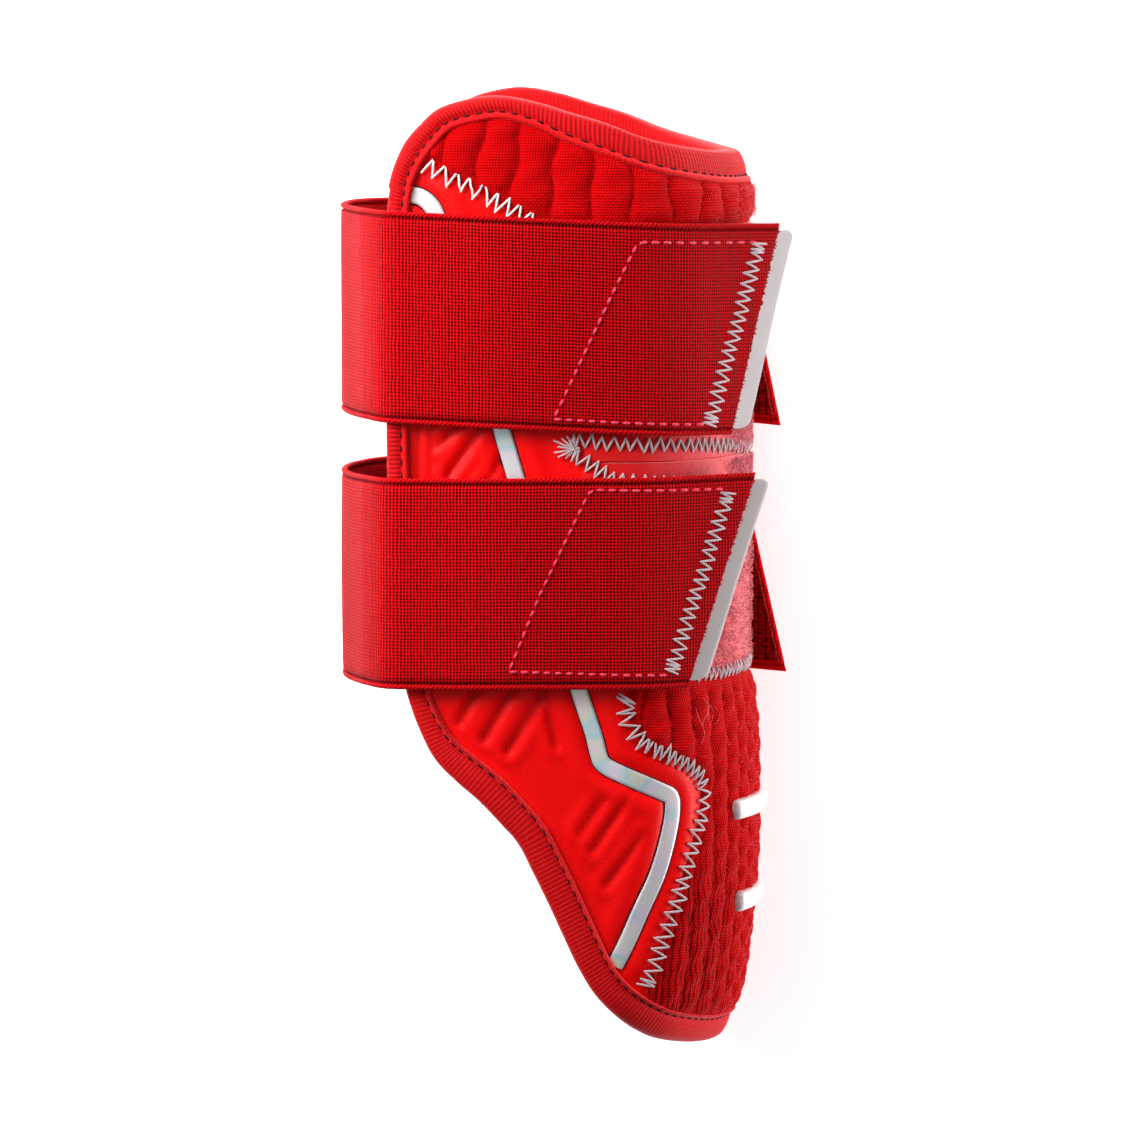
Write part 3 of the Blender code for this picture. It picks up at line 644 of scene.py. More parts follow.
def one_long(vectors):
    """Vectors made one long."""
    return vectors / np.maximum(np.linalg.norm(vectors, axis=-1, keepdims=True), 1e-9)


def closed_faces(rows, columns):
    """Quads of a closed slab: the outer grid, the inner grid turned over and the wall between
    their rims. Inner points follow the outer ones."""
    index = np.arange(rows * columns).reshape(rows, columns)
    quads = np.stack([index[:-1, :-1], index[:-1, 1:], index[1:, 1:], index[1:, :-1]], axis=-1)
    quads = quads.reshape(-1, 4)
    rim = np.concatenate([index[0, :], index[1:, -1], index[-1, -2::-1], index[-2:0:-1, 0]])
    following = np.roll(rim, -1)
    under = rows * columns
    walls = np.stack([rim, rim + under, following + under, following], axis=-1)
    return quads, quads[:, ::-1] + under, walls


def tube_faces(paths, stations, sides):
    """Quads of many tubes, each of stations rings, and the polygons that close their ends."""
    index = np.arange(paths * stations * sides).reshape(paths, stations, sides)
    turned = np.roll(index, -1, axis=2)
    quads = np.stack([index[:, :-1], turned[:, :-1], turned[:, 1:], index[:, 1:]], axis=-1)
    return quads.reshape(-1, 4), index[:, 0, ::-1], index[:, -1]


def six_volumes(points, faces):
    """Six times the volume inside closed faces, summed over the tetrahedra from one point to
    them. It is negative when the faces are inside out."""
    total = 0.0
    origin = points.mean(axis=0)
    for part in faces:
        corners = points[part] - origin
        for k in range(1, part.shape[1] - 1):
            total += np.einsum("ij,ij->", corners[:, 0], np.cross(corners[:, k], corners[:, k + 1]))
    return total


def add_piece(name, points, faces, materials, slot, node=(), uv=None, values=(), parts=None):
    """A piece of the guard. points are in the pad's axes; faces are arrays of polygons with one
    corner count each; uv is in millimetres; values are named numbers, one for each point."""
    points = np.ascontiguousarray(points.reshape(-1, 3))
    if six_volumes(points, faces) < 0.0:
        faces = [part[:, ::-1] for part in faces]
    mesh = bpy.data.meshes.new(name)
    corners = np.concatenate([part.ravel() for part in faces])
    sizes = np.concatenate([np.full(len(part), part.shape[1]) for part in faces])
    mesh.vertices.add(len(points))
    mesh.vertices.foreach_set("co", (points + SHIFT).astype(np.float32).ravel())
    mesh.loops.add(len(corners))
    mesh.loops.foreach_set("vertex_index", corners.astype(np.int32))
    mesh.polygons.add(len(sizes))
    starts = np.concatenate([[0], np.cumsum(sizes)[:-1]])
    mesh.polygons.foreach_set("loop_start", starts.astype(np.int32))
    for material in materials:
        mesh.materials.append(material)
    if parts is not None:
        numbers = np.concatenate([np.full(len(part), which) for part, which in zip(faces, parts)])
        mesh.polygons.foreach_set("material_index", numbers.astype(np.int32))
    if uv is not None:
        layer = mesh.uv_layers.new(name="Cloth")
        layer.data.foreach_set("uv", uv.reshape(-1, 2)[corners].astype(np.float32).ravel())
    for label, numbers in values:
        layer = mesh.attributes.new(label, "FLOAT", "POINT")
        layer.data.foreach_set("value", np.ravel(numbers).astype(np.float32))
    mesh.update(calc_edges=True)
    mesh.validate()
    mesh.shade_smooth()
    mesh.set_sharp_from_angle(angle=math.radians(60.0))
    piece = bpy.data.objects.new(name, mesh)
    bpy.context.scene.collection.objects.link(piece)
    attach(piece, "root")
    if node:
        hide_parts(*([node] if isinstance(node, str) else node))
    return piece


def add_slab(name, outer, inner, materials, slot, **details):
    """A closed piece between two grids of points."""
    rows, columns = outer.shape[:2]
    points = np.concatenate([outer.reshape(-1, 3), inner.reshape(-1, 3)])
    if details.get("uv") is not None:
        details["uv"] = np.concatenate([details["uv"].reshape(-1, 2)] * 2)
    if details.get("values"):
        details["values"] = [(label, np.concatenate([np.ravel(numbers)] * 2))
                             for label, numbers in details["values"]]
        details["values"].append(("inside", np.repeat([0.0, 1.0], rows * columns)))
    return add_piece(name, points, list(closed_faces(rows, columns)), materials, slot, **details)


def tube_rings(paths, ups, radius, sides):
    """Rings round each path: a circle in the plane of the path's side and lift directions, which
    are square to its run and follow the surface's normal."""
    run = one_long(np.gradient(paths, axis=1))
    across = one_long(np.cross(ups, run))
    lift = np.cross(run, across)
    turn = 2.0 * math.pi * np.arange(sides) / sides
    circle = (np.cos(turn)[:, None] * across[:, :, None] + np.sin(turn)[:, None] * lift[:, :, None])
    return paths[:, :, None] + circle * np.asarray(radius)[..., None, None]


def add_threads(name, paths, ups, radius, materials, slot, sides=6):
    """Threads or fibres: one closed tube for each path."""
    count, stations = paths.shape[:2]
    rings = tube_rings(paths, ups, radius, sides)
    return add_piece(name, rings, list(tube_faces(count, stations, sides)), materials, slot)


# ---- materials -------------------------------------------------------------------------------


class Finish:
    """A material's nodes. Each method adds a node and returns the socket it gives."""

    def __init__(self, name, roughness, **sockets):
        self.material = bpy.data.materials.new(name)
        self.material.use_nodes = True
        self.tree = self.material.node_tree
        self.shader = self.tree.nodes["Principled BSDF"]
        self.shader.inputs["Roughness"].default_value = roughness
        for label, value in sockets.items():
            self.shader.inputs[label.replace("_", " ")].default_value = value

    def put(self, socket, value):
        """Link a socket's output to this one, or set this one's value."""
        if isinstance(value, bpy.types.NodeSocket):
            self.tree.links.new(value, socket)
        else:
            socket.default_value = value

    def add(self, kind, settings=(), **inputs):
        """A node with these settings and inputs."""
        node = self.tree.nodes.new(kind)
        for label, value in dict(settings).items():
            setattr(node, label, value)
        for label, value in inputs.items():
            self.put(node.inputs[label.replace("_", " ")], value)
        return node

    def maths(self, operation, first, second=0.0, third=0.0):
        """The result of a Math node."""
        node = self.add("ShaderNodeMath", {"operation": operation})
        for socket, value in zip(node.inputs, (first, second, third)):
            self.put(socket, value)
        return node.outputs[0]

    def times(self, first, second):
        """Product of two values."""
        return self.maths("MULTIPLY", first, second)

    def power(self, base, exponent):
        """A value raised to an exponent."""
        return self.maths("POWER", base, exponent)

    def place(self):
        """Object coordinates, in metres."""
        return self.add("ShaderNodeTexCoord").outputs["Object"]

    def cloth(self):
        """Distance along and across the cloth, in millimetres."""
        node = self.add("ShaderNodeUVMap", {"uv_map": "Cloth"})
        split = self.add("ShaderNodeSeparateXYZ", Vector=node.outputs[0])
        return split.outputs[0], split.outputs[1]

    def value(self, label):
        """The number that a piece carries under this label."""
        return self.add("ShaderNodeAttribute", {"attribute_name": label}).outputs["Fac"]

    def noise(self, scale, detail=2.0):
        """Noise from 0 to 1, scale cells in a metre."""
        node = self.add("ShaderNodeTexNoise", Vector=self.place(), Scale=scale, Detail=detail)
        return node.outputs["Fac"]

    def ramp(self, factor, stops):
        """Colour at a factor, between stops given as position and colour."""
        node = self.add("ShaderNodeValToRGB", Fac=factor)
        points = node.color_ramp.elements
        while len(points) < len(stops):
            points.new(0.5)
        for point, (position, tone) in zip(points, stops):
            point.position = position
            point.color = (*tone, 1.0)
        return node.outputs["Color"]

    def blend(self, factor, first, second):
        """Mix of two colours: the first at a factor of 0, the second at 1."""
        node = self.add("ShaderNodeMix", {"data_type": "RGBA"})
        self.put(node.inputs[0], factor)
        for number, side in ((6, first), (7, second)):
            linked = isinstance(side, bpy.types.NodeSocket)
            self.put(node.inputs[number], side if linked else (*side, 1.0))
        return node.outputs[2]

    def wave(self, distance, pitch, offset=0.0):
        """Sine of a distance, 0 to 1, once in each pitch."""
        turn = self.maths("MULTIPLY_ADD", distance, 2.0 * math.pi / pitch, offset)
        return self.maths("MULTIPLY_ADD", self.maths("SINE", turn), 0.5, 0.5)

    def finish(self, colour, height=None, depth=0.0, roughness=None):
        """The material with this colour, bump height in depth and roughness."""
        self.put(self.shader.inputs["Base Color"], colour)
        if roughness is not None:
            self.put(self.shader.inputs["Roughness"], roughness)
        if height is not None:
            bump = self.add("ShaderNodeBump", Height=height, Distance=depth, Strength=1.0)
            self.put(self.shader.inputs["Normal"], bump.outputs[0])
        return self.material


def shade(colour, factor):
    """A colour made lighter or darker."""
    return tuple(min(part * factor, 1.0) for part in colour)


def sheen(tint, amount, roughness=0.4):
    """Socket values of a cloth's sheen."""
    return dict(Sheen_Weight=amount, Sheen_Roughness=roughness, Sheen_Tint=(*tint, 1.0))


def cover_finish(colours):
    """Coated cover: fine pebbled grain, slightly mottled, with painted shade in its pressed
    creases.
    """
    made = Finish("smooth_cover_finish", 0.42, Specular_IOR_Level=0.42,
                  Specular_Tint=(1.0, 0.2, 0.2, 1.0), **sheen((1.0, 0.25, 0.25), 0.05, 0.5))
    grain = made.noise(2600.0, 2.0)
    patches = made.noise(160.0, 3.0)
    tone = made.blend(patches, shade(colours.cover, 0.93), shade(colours.cover, 1.05))
    sunk = made.value("sunk")
    # Painted shade: the cover is darkened in its pressed creases, by their depth
    tone = made.blend(made.times(sunk, 0.75), tone, shade(colours.cover, 0.42))
    rough = made.maths("MULTIPLY_ADD", patches, 0.14, 0.33)
    return made.finish(tone, grain, 0.10 * MM, rough)


def tape_finish(colours):
    """Ribbed tape: painted shade in its furrows and painted highlight on its crests, with fine
    yarns along each rib.
    """
    made = Finish("binding_tape_finish", 0.62, Specular_IOR_Level=0.25,
                  Specular_Tint=(1.0, 0.3, 0.3, 1.0), **sheen((1.0, 0.32, 0.34), 0.4))
    along, across = made.cloth()
    rib = made.value("rib")
    # Painted light: darker in the furrows between ribs and round the lip's cords, lighter on the
    # crests
    tone = made.blend(made.power(rib, 0.7), shade(colours.tape, 0.36), shade(colours.tape, 1.32))
    patches = made.noise(420.0, 3.0)
    tone = made.blend(made.times(patches, 0.35), tone, shade(colours.tape, 0.75))
    yarn = made.times(made.wave(along, 0.36), made.wave(across, 0.5))
    return made.finish(tone, yarn, 0.05 * MM)


def knit_finish(colours, sizes):
    """Quilted knit: rows of small stitches, painted shade between cells, with a pale bloom at a
    slant.
    """
    made = Finish("knit_finish", 0.86, Specular_IOR_Level=0.12,
                  Specular_Tint=(1.0, 0.15, 0.15, 1.0), **sheen((1.0, 0.22, 0.25), 0.24, 0.32))
    along, across = made.cloth()
    pitch = sizes.knit_pitch / MM
    odd = made.maths("MODULO", made.maths("FLOOR", made.maths("DIVIDE", across, pitch)), 2.0)
    turn = made.maths("MULTIPLY_ADD", along, 2.0 * math.pi / pitch, made.times(odd, math.pi))
    bead = made.maths("MULTIPLY_ADD", made.maths("SINE", turn), 0.5, 0.5)
    row = made.wave(across, pitch, -math.pi / 2.0)
    stitch = made.power(made.times(bead, row), 0.7)
    # Painted light: the stitches' crests are lightened and the gaps between them darkened
    tone = made.blend(stitch, shade(colours.knit, 0.55), shade(colours.knit, 1.7))
    patches = made.noise(300.0, 3.0)
    tone = made.blend(made.times(patches, 0.3), tone, shade(colours.knit, 0.75))
    drift = made.noise(140.0, 2.0)
    line = made.wave(made.maths("MULTIPLY_ADD", drift, 3.2, along), 1.45)
    line = made.times(made.power(line, 4.0), made.value("wrinkle"))
    # Painted shade in the wrinkle lines, which the bump also sinks
    tone = made.blend(made.times(line, 0.85), tone, shade(colours.knit, 0.16))
    sunk = made.value("sunk")
    # Painted shade in the grooves between the quilted cells
    tone = made.blend(sunk, tone, shade(colours.knit, 0.10))
    height = made.maths("SUBTRACT", stitch, line)
    return made.finish(tone, height, 0.20 * MM)


def elastic_finish(colours, sizes):
    """Woven elastic: a plain weave with dark holes between its yarns, laddered at its edges, with
    painted light and shade.
    """
    made = Finish("elastic_finish", 0.74, Specular_IOR_Level=0.1,
                  Specular_Tint=(1.0, 0.08, 0.10, 1.0), **sheen((1.0, 0.10, 0.14), 0.10))
    along, across = made.cloth()
    pitch = sizes.yarn_pitch / MM
    drift = made.maths("MULTIPLY_ADD", made.noise(260.0, 1.0), 0.4, -0.2)
    along = made.maths("ADD", along, drift)
    across = made.maths("MULTIPLY_ADD", drift, 0.5, across)
    warp = made.wave(along, pitch)
    weft = made.wave(across, pitch)
    cell = made.add("ShaderNodeCombineXYZ",
                    X=made.maths("FLOOR", made.maths("MULTIPLY_ADD", along, 1.0 / pitch, -0.25)),
                    Y=made.maths("FLOOR", made.maths("MULTIPLY_ADD", across, 1.0 / pitch, -0.25)))
    chance = made.add("ShaderNodeTexWhiteNoise", Vector=cell.outputs[0]).outputs["Value"]
    fuzz = made.noise(1500.0, 2.0)
    hole = made.times(made.power(warp, 1.2), made.power(weft, 1.2))
    ridge = made.times(made.power(warp, 1.8),
                       made.maths("MULTIPLY_ADD", made.power(weft, 1.3), 0.95, 0.15))
    column = made.value("column")
    hole = made.maths("ADD", made.times(hole, made.maths("SUBTRACT", 1.0, column)),
                      made.times(ridge, column))
    hole = made.times(hole, made.maths("MULTIPLY_ADD", chance, 1.1, 0.95))
    fold = made.value("fold")
    hole = made.times(hole, made.maths("MULTIPLY_ADD", fold, -0.85, 1.0))
    fine = made.times(made.wave(across, 0.62), 0.28)
    hole = made.maths("MULTIPLY_ADD", fine, fold, hole)
    edge = made.value("edge")
    hole = made.times(hole, made.maths("SUBTRACT", 1.0, edge))
    twist = made.wave(made.maths("ADD", along, across), 1.1)
    rope = made.times(made.power(twist, 2.5), edge)
    # Painted shade in the furrow inside each rolled edge, in ticks at the warp yarns
    dots = made.times(made.power(warp, 1.3), made.value("sunk"))
    dark = made.maths("ADD", hole, made.times(rope, 0.6))
    dark = made.maths("MINIMUM", made.maths("ADD", dark, dots), 1.0)
    # Painted light: lighter towards the left end and darker towards the right, for the key light's
    # fall-off
    painted_falloff = made.blend(column, shade(colours.elastic, 0.82), shade(colours.elastic, 1.30))
    tone = made.blend(made.times(fuzz, 0.7), painted_falloff, shade(colours.elastic, 1.24))
    # Painted highlight: pink over the fold where the strap turns round the wing's edge
    tone = made.blend(made.times(fold, 0.4), tone, (0.52, 0.10, 0.12))
    tone = made.blend(made.times(chance, 0.5), tone, shade(colours.elastic, 1.45))
    tone = made.blend(dark, tone, shade(colours.elastic, 0.07))
    height = made.maths("SUBTRACT", made.times(fuzz, 0.3), dark)
    # Painted light: the inner face is made much brighter
    inside = made.times(made.value("inside"), 0.8)
    tone = made.blend(inside, tone, shade(colours.elastic, 2.0))
    return made.finish(tone, height, 0.32 * MM)


def pile_finish(colours):
    """Loop pile: soft, with a strong pale bloom where light grazes it."""
    made = Finish("loop_pile_finish", 0.9, Specular_IOR_Level=0.2, **sheen((1.0, 0.72, 0.76), 1.0))
    tone = made.ramp(made.noise(900.0, 3.0), [(0.3, shade(colours.pile, 0.75)),
                                              (0.7, shade(colours.pile, 1.3))])
    return made.finish(tone, made.noise(2400.0, 2.0), 0.3 * MM)


def ground_finish(colours):
    """Ground cloth of the loop patches: close and smooth, with a painted highlight of pale pink
    clumps over the ridge.
    """
    made = Finish("loop_ground_finish", 0.75, Specular_IOR_Level=0.2,
                  Specular_Tint=(1.0, 0.3, 0.3, 1.0), **sheen((1.0, 0.66, 0.70), 1.0, 0.45))
    tone = made.blend(made.noise(500.0, 3.0), shade(colours.knit, 0.95), shade(colours.knit, 1.15))
    # Painted highlight: clumps of the pile's pale pink over the ridge
    clumps = made.times(made.noise(700.0, 3.0), made.value("nap_highlight"))
    tone = made.blend(made.times(clumps, 0.55), tone, colours.pile[:])
    return made.finish(tone, made.noise(2200.0, 2.0), 0.1 * MM)


def lining_finish(colours):
    """Inner cloth: dark brushed mesh."""
    made = Finish("lining_finish", 0.9, Specular_IOR_Level=0.2, **sheen((0.9, 0.3, 0.3), 0.4))
    cells = made.add("ShaderNodeTexVoronoi", {"feature": "DISTANCE_TO_EDGE"},
                     Vector=made.place(), Scale=700.0).outputs[0]
    tone = made.blend(made.times(cells, 3.0), shade(colours.lining, 0.35),
                      shade(colours.lining, 1.4))
    return made.finish(tone, cells, 0.4 * MM)


def hook_finish(colours):
    """Hook fastener: rows of small stubs on a dark backing."""
    made = Finish("hook_finish", 0.7, Specular_IOR_Level=0.2, Specular_Tint=(1.0, 0.2, 0.2, 1.0))
    cells = made.add("ShaderNodeTexVoronoi", Vector=made.place(), Scale=1000.0,
                     Randomness=0.35).outputs["Distance"]
    dots = made.maths("SUBTRACT", 1.0, cells)
    tone = made.ramp(dots, [(0.35, shade(colours.hooks, 0.15)), (0.85, shade(colours.hooks, 1.5))])
    return made.finish(tone, dots, 0.5 * MM)


def thread_finish(name, colour):
    """Thread: fine plies across its run."""
    made = Finish(name + "_finish", 0.5, Specular_IOR_Level=0.4, **sheen((1.0, 0.9, 0.9), 0.3))
    plies = made.noise(2600.0, 2.0)
    tone = made.blend(plies, shade(colour, 0.72), shade(colour, 1.15))
    return made.finish(tone, plies, 0.12 * MM)


def silver_finish(colours):
    """Silver film that turns faintly green, yellow and pink over parts of the stripe's length."""
    made = Finish("silver_film_finish", 0.34, Specular_IOR_Level=0.6, Metallic=0.35,
                  Coat_Weight=0.3, Coat_Roughness=0.25)
    along, _ = made.cloth()
    slow = made.maths("MULTIPLY_ADD", made.wave(along, 13.0, 1.2), 0.32,
                      made.times(made.noise(90.0, 1.0), 0.66))
    tinted = made.ramp(made.maths("DIVIDE", along, 215.0), [
        (share, (amount,) * 3) for share, amount in
        ((0.24, 0.2), (0.31, 0.62), (0.40, 0.2), (0.58, 0.6), (0.63, 1.0), (0.70, 0.9),
         (0.75, 0.55), (0.90, 0.5), (0.97, 0.75))])
    band = made.times(made.times(slow, 1.45), tinted)
    tone = made.ramp(band, [
        (0.30, colours.silver[:]),
        (0.46, (0.62, 0.54, 0.62)),
        (0.60, (0.36, 0.54, 0.57)),
        (0.72, (0.58, 0.58, 0.48)),
        (0.84, (0.62, 0.52, 0.60)),
        (1.00, (0.32, 0.52, 0.58)),
    ])
    return made.finish(tone, made.noise(1200.0, 2.0), 0.02 * MM)


def satin_finish(colours):
    """Satin ribbon: close fine yarns."""
    made = Finish("satin_finish", 0.5, Specular_IOR_Level=0.35, **sheen((1.0, 1.0, 1.0), 0.2))
    _, across = made.cloth()
    yarn = made.wave(across, 0.32)
    tone = made.blend(made.noise(240.0, 3.0), shade(colours.satin, 0.94),
                      shade(colours.satin, 1.05))
    tone = made.blend(made.times(yarn, 0.12), tone, shade(colours.satin, 0.7))
    return made.finish(tone, yarn, 0.03 * MM)


def bar_finish(colours):
    """Moulded bar: glossy and slightly uneven."""
    made = Finish("raised_bar_finish", 0.28, Specular_IOR_Level=0.5, Coat_Weight=0.4,
                  Coat_Roughness=0.1)
    tone = made.blend(made.noise(120.0, 2.0), shade(colours.bar, 0.92), shade(colours.bar, 1.04))
    return made.finish(tone, made.noise(500.0, 2.0), 0.06 * MM)


def dark_finish(name, colour):
    """Plain finish mottled darker: painted shade for the tape's stitching and the stripe's outline,
    and the frayed yarn ends.
    """
    made = Finish(name + "_finish", 0.8, Specular_IOR_Level=0.2)
    tone = made.blend(made.noise(1500.0, 2.0), shade(colour, 0.6), colour)
    return made.finish(tone, made.noise(2500.0, 1.0), 0.05 * MM)


def material(name, make, *arguments):
    """The material of that name, made once."""
    return bpy.data.materials.get(name + "_finish") or make(*arguments)


# ---- pieces ----------------------------------------------------------------------------------


def build_cover(sizes, colours):
    """Grid over arc and height. The outer face is the cover minus its creases, with a channel
    along the stripe and a soft crown on each side of it. The inner face lies shell_depth in."""
    inset = TAPE_THICKNESS + LAYER_GAP
    ridge = 40.0 * MM
    half = np.concatenate([np.linspace(0.0, ridge, 15)[:-1],
                           np.linspace(ridge, WING_ARC - inset, 88)])
    arc = np.concatenate([half[:0:-1], -half])
    low, high = limits(arc, inset)
    height = low + (high - low) * np.linspace(0.0, 1.0, 178)[:, None]
    arcs = arc + 0.0 * height
    sunk = np.zeros_like(arcs)
    crown = np.zeros_like(arcs)
    for start, rise_a, end, rise_b, half_width, depth in CREASES:
        line = np.array([(start, rise_a), (end, rise_b)]) * MM
        away = from_line(arcs, height, line) / MM
        sunk = np.maximum(sunk, depth * np.exp(-(away / half_width / 0.8) ** 2))
        crown = np.maximum(crown, 0.55 * np.exp(-((away - 2.6) / 1.3) ** 2))
    stripe = evenly(smooth_line(STRIPE, 4), 2.0) * MM
    away = from_line(arcs, height, stripe) / MM
    half_stripe = sizes.stripe_width / MM / 2.0
    channel = 0.35 / (1.0 + np.exp((away - half_stripe - 0.35) / 0.16))
    crown = np.maximum(crown, 0.75 * np.exp(-((away - half_stripe - 3.2) / 2.4) ** 2))
    rim = edge_curve()[:, :2]
    edge_away = from_line(arcs, height, evenly(rim, 3.0 * MM))
    crown = crown * unit((edge_away / MM - 8.0) / 4.0) * (away > half_stripe)
    out = (crown * 0.75 - sunk * (0.8 + 0.2 * (away > half_stripe)) - channel) * MM
    outer = on_pad(arcs, height, out)
    inner = on_pad(arcs, height, -shell_depth(edge_away))
    piece = add_slab("cover", outer, inner,
                     [material("smooth_cover", cover_finish, colours),
                      material("lining", lining_finish, colours)],
                     "smooth_cover", node="padded_shell",
                     # sunk: depth of the creases, which the cover's finish darkens as painted shade
                     values=[("sunk", unit(sunk / 0.75) ** 1.5)],
                     parts=(0, 1, 1))


def build_binding(sizes, colours):
    """Profile carried round the whole edge: a folded tape with a rolled lip, a stitch furrow
    inside the lip, and ribs that are a cosine of the distance along the edge."""
    step = sizes.rib_pitch / 4.0
    curve = evenly(edge_curve(24), step)
    into = inward(curve)
    back = slice(-2, 0, -1)
    mirror = np.array([-1.0, 1.0])
    line = np.concatenate([curve[:, :2], curve[back, :2] * mirror])
    width = np.concatenate([curve[:, 2], curve[back, 2]])
    into = np.concatenate([into, into[back] * mirror])
    stations = np.arange(len(line)) * step
    rib = 0.5 + 0.5 * np.cos(2.0 * math.pi * stations / sizes.rib_pitch)
    # Ribs deeper towards the top, so their painted shade and highlight are stronger there too
    bold = 0.72 + 0.28 * unit((line[:, 1] / MM + 25.0) / 60.0)
    lip = lip_share(line[:, 1])
    deeper = shell_depth(width) - SHELL_EDGE_THICKNESS
    rings = []
    ribs = []
    around = []
    gone = 0.0
    for share, fixed, out, depth in TAPE_PROFILE:
        inset = share * width + fixed * MM * (lip if share == 1.0 else 1.0)
        spot = line + into * inset[:, None]
        swell = np.where(out < -3.0, deeper * unit(inset / width), 0.0)
        cord = 0.5 + 0.5 * np.cos(2.0 * math.pi * stations / (1.25 * sizes.rib_pitch)
                                  + 1.6 * fixed)
        sunk = (1.0 - bold * (1.0 - rib)) if depth >= 0.0 else cord
        furrow = sizes.rib_depth * abs(depth) * (1.0 - sunk)
        height = out * MM - swell + np.where(out > -1.5, -furrow, furrow)
        rings.append(on_pad(spot[:, 0], spot[:, 1], height))
        # rib: 1 on a crest and less in a furrow; the tape's finish paints shade and highlight by it
        ribs.append(1.0 - (1.0 - sunk) * min(abs(depth) * 1.2, 1.0))
        around.append(gone + 0.0 * stations)
        gone += 0.55
    rings = np.stack(rings, axis=1)
    count, sides = rings.shape[:2]
    index = np.arange(count * sides).reshape(count, sides)
    ahead = np.roll(index, -1, axis=0)
    quads = np.stack([index, np.roll(index, -1, axis=1), np.roll(ahead, -1, axis=1), ahead],
                     axis=-1)
    uv = np.stack([np.repeat(stations[:, None] / MM, sides, axis=1), np.stack(around, axis=1)],
                  axis=-1)
    add_piece("binding", rings, [quads.reshape(-1, 4)],
              [material("binding_tape", tape_finish, colours)],
              "binding_tape", node="edge_binding", uv=uv,
              values=[("rib", np.stack(ribs, axis=1))])
    build_binding_stitches(colours)


def lip_share(height):
    """Width of the tape's lip by height: whole at the top, narrower towards the foot."""
    return np.interp(height / MM, (-60.0, 10.0), (0.62, 1.0))


def dashes(line):
    """Groups of five points out of every six along a line: a stitch and the gap after it."""
    whole = len(line) // 6 * 6
    return line[:whole].reshape(-1, 6, 2)[:, :5]


def build_binding_stitches(colours):
    """Short near-black tubes along the furrow inside the tape's lip, bowed up between their holes:
    painted shade of the stitch holes, in the shape of the stitches.
    """
    line = evenly(edge_curve(24), 0.55 * MM)
    inset = line[:, 2] - TAPE_STITCH * MM * lip_share(line[:, 1])
    paths = dashes(line[:, :2] + inward(line) * inset[:, None])
    lift = np.array([0.55, 0.86, 0.94, 0.86, 0.55]) * MM
    radius = np.array([0.12, 0.30, 0.34, 0.30, 0.12]) * MM
    # Painted shade: the stitches are near black for the shaded holes they sit in
    finish = material("tape_thread", dark_finish, "tape_thread", colours.tape_thread[:])
    for side, label in ((1.0, "near"), (-1.0, "far")):
        point, normal = over_pad(paths[..., 0] * side, paths[..., 1], lift)
        add_threads("binding_stitches_" + label, point, normal, radius, [finish],
                    "binding_tape", sides=5)


def quilt(arc, height, pitch, pinched, slant=0.0):
    """Height of a quilted cell, 0 in the groove and 1 on its crown: the root of the absolute sine
    of arc over the pitch, whose grooves sway by turns so that neighbours pinch and part."""
    column = arc / pitch
    sway = 0.055 * np.sin(2.0 * math.pi * (height + slant) / (13.0 * MM)) * np.cos(math.pi * column)
    wander = 0.025 * np.sin(height / (3.1 * MM) + 2.1 * column)
    line = np.abs(np.sin(math.pi * (column + sway + wander)))
    pinch = 1.0 - pinched * (1.0 - np.sin(2.0 * math.pi * height / (6.6 * MM) + math.pi * column))
    return line ** 0.55 * pinch, line


def build_knit_upper(sizes, colours):
    """Grid over arc and height above the upper seam, out of the cover by the quilt's height."""
    arc = np.linspace(99.0, -99.0, 340) * MM
    high = limits(arc, -0.6 * MM, with_tape=True)[1]
    wing = unit((np.abs(arc) / MM - 68.0) / 9.0)
    seam = (85.4 + wing) * MM + np.maximum(np.abs(arc) - 77.3 * MM, 0.0) * 0.565
    low = np.minimum(seam, high - 0.8 * MM)
    up = np.linspace(0.0, 1.0, 46)[:, None]
    height = low + (high - low) * up
    arcs = arc + 0.0 * height
    setback = np.interp(height, SHAPE_HEIGHT, SHAPE[:, 1]) * RIDGE_X
    spread = arcs * (1.0 + setback / (52.0 * MM)) + 3.2 * MM
    crest, line = quilt(spread, height, sizes.quilt_pitch, 0.06)
    border = np.minimum(height - low - (0.7 + wing) * MM, high - height) / (3.2 * MM)
    border = np.sqrt(unit(border))
    out = KNIT_BASE + sizes.quilt_rise * crest * border
    outer = on_pad(arcs, height, out)
    inner = on_pad(arcs, height, KNIT_FOOT)
    uv = np.stack([arcs, height], axis=-1) / MM
    # Share of the groove between cells, which the knit's finish darkens as painted shade
    sunk = unit(1.0 - line / 0.14) * border
    piece = add_slab("knit_upper", outer, inner, [material("knit", knit_finish, colours, sizes)],
                     "knit", node="knit_panel_upper", uv=uv,
                     values=[("sunk", sunk * 0.6), ("wrinkle", 0.0 * sunk)])


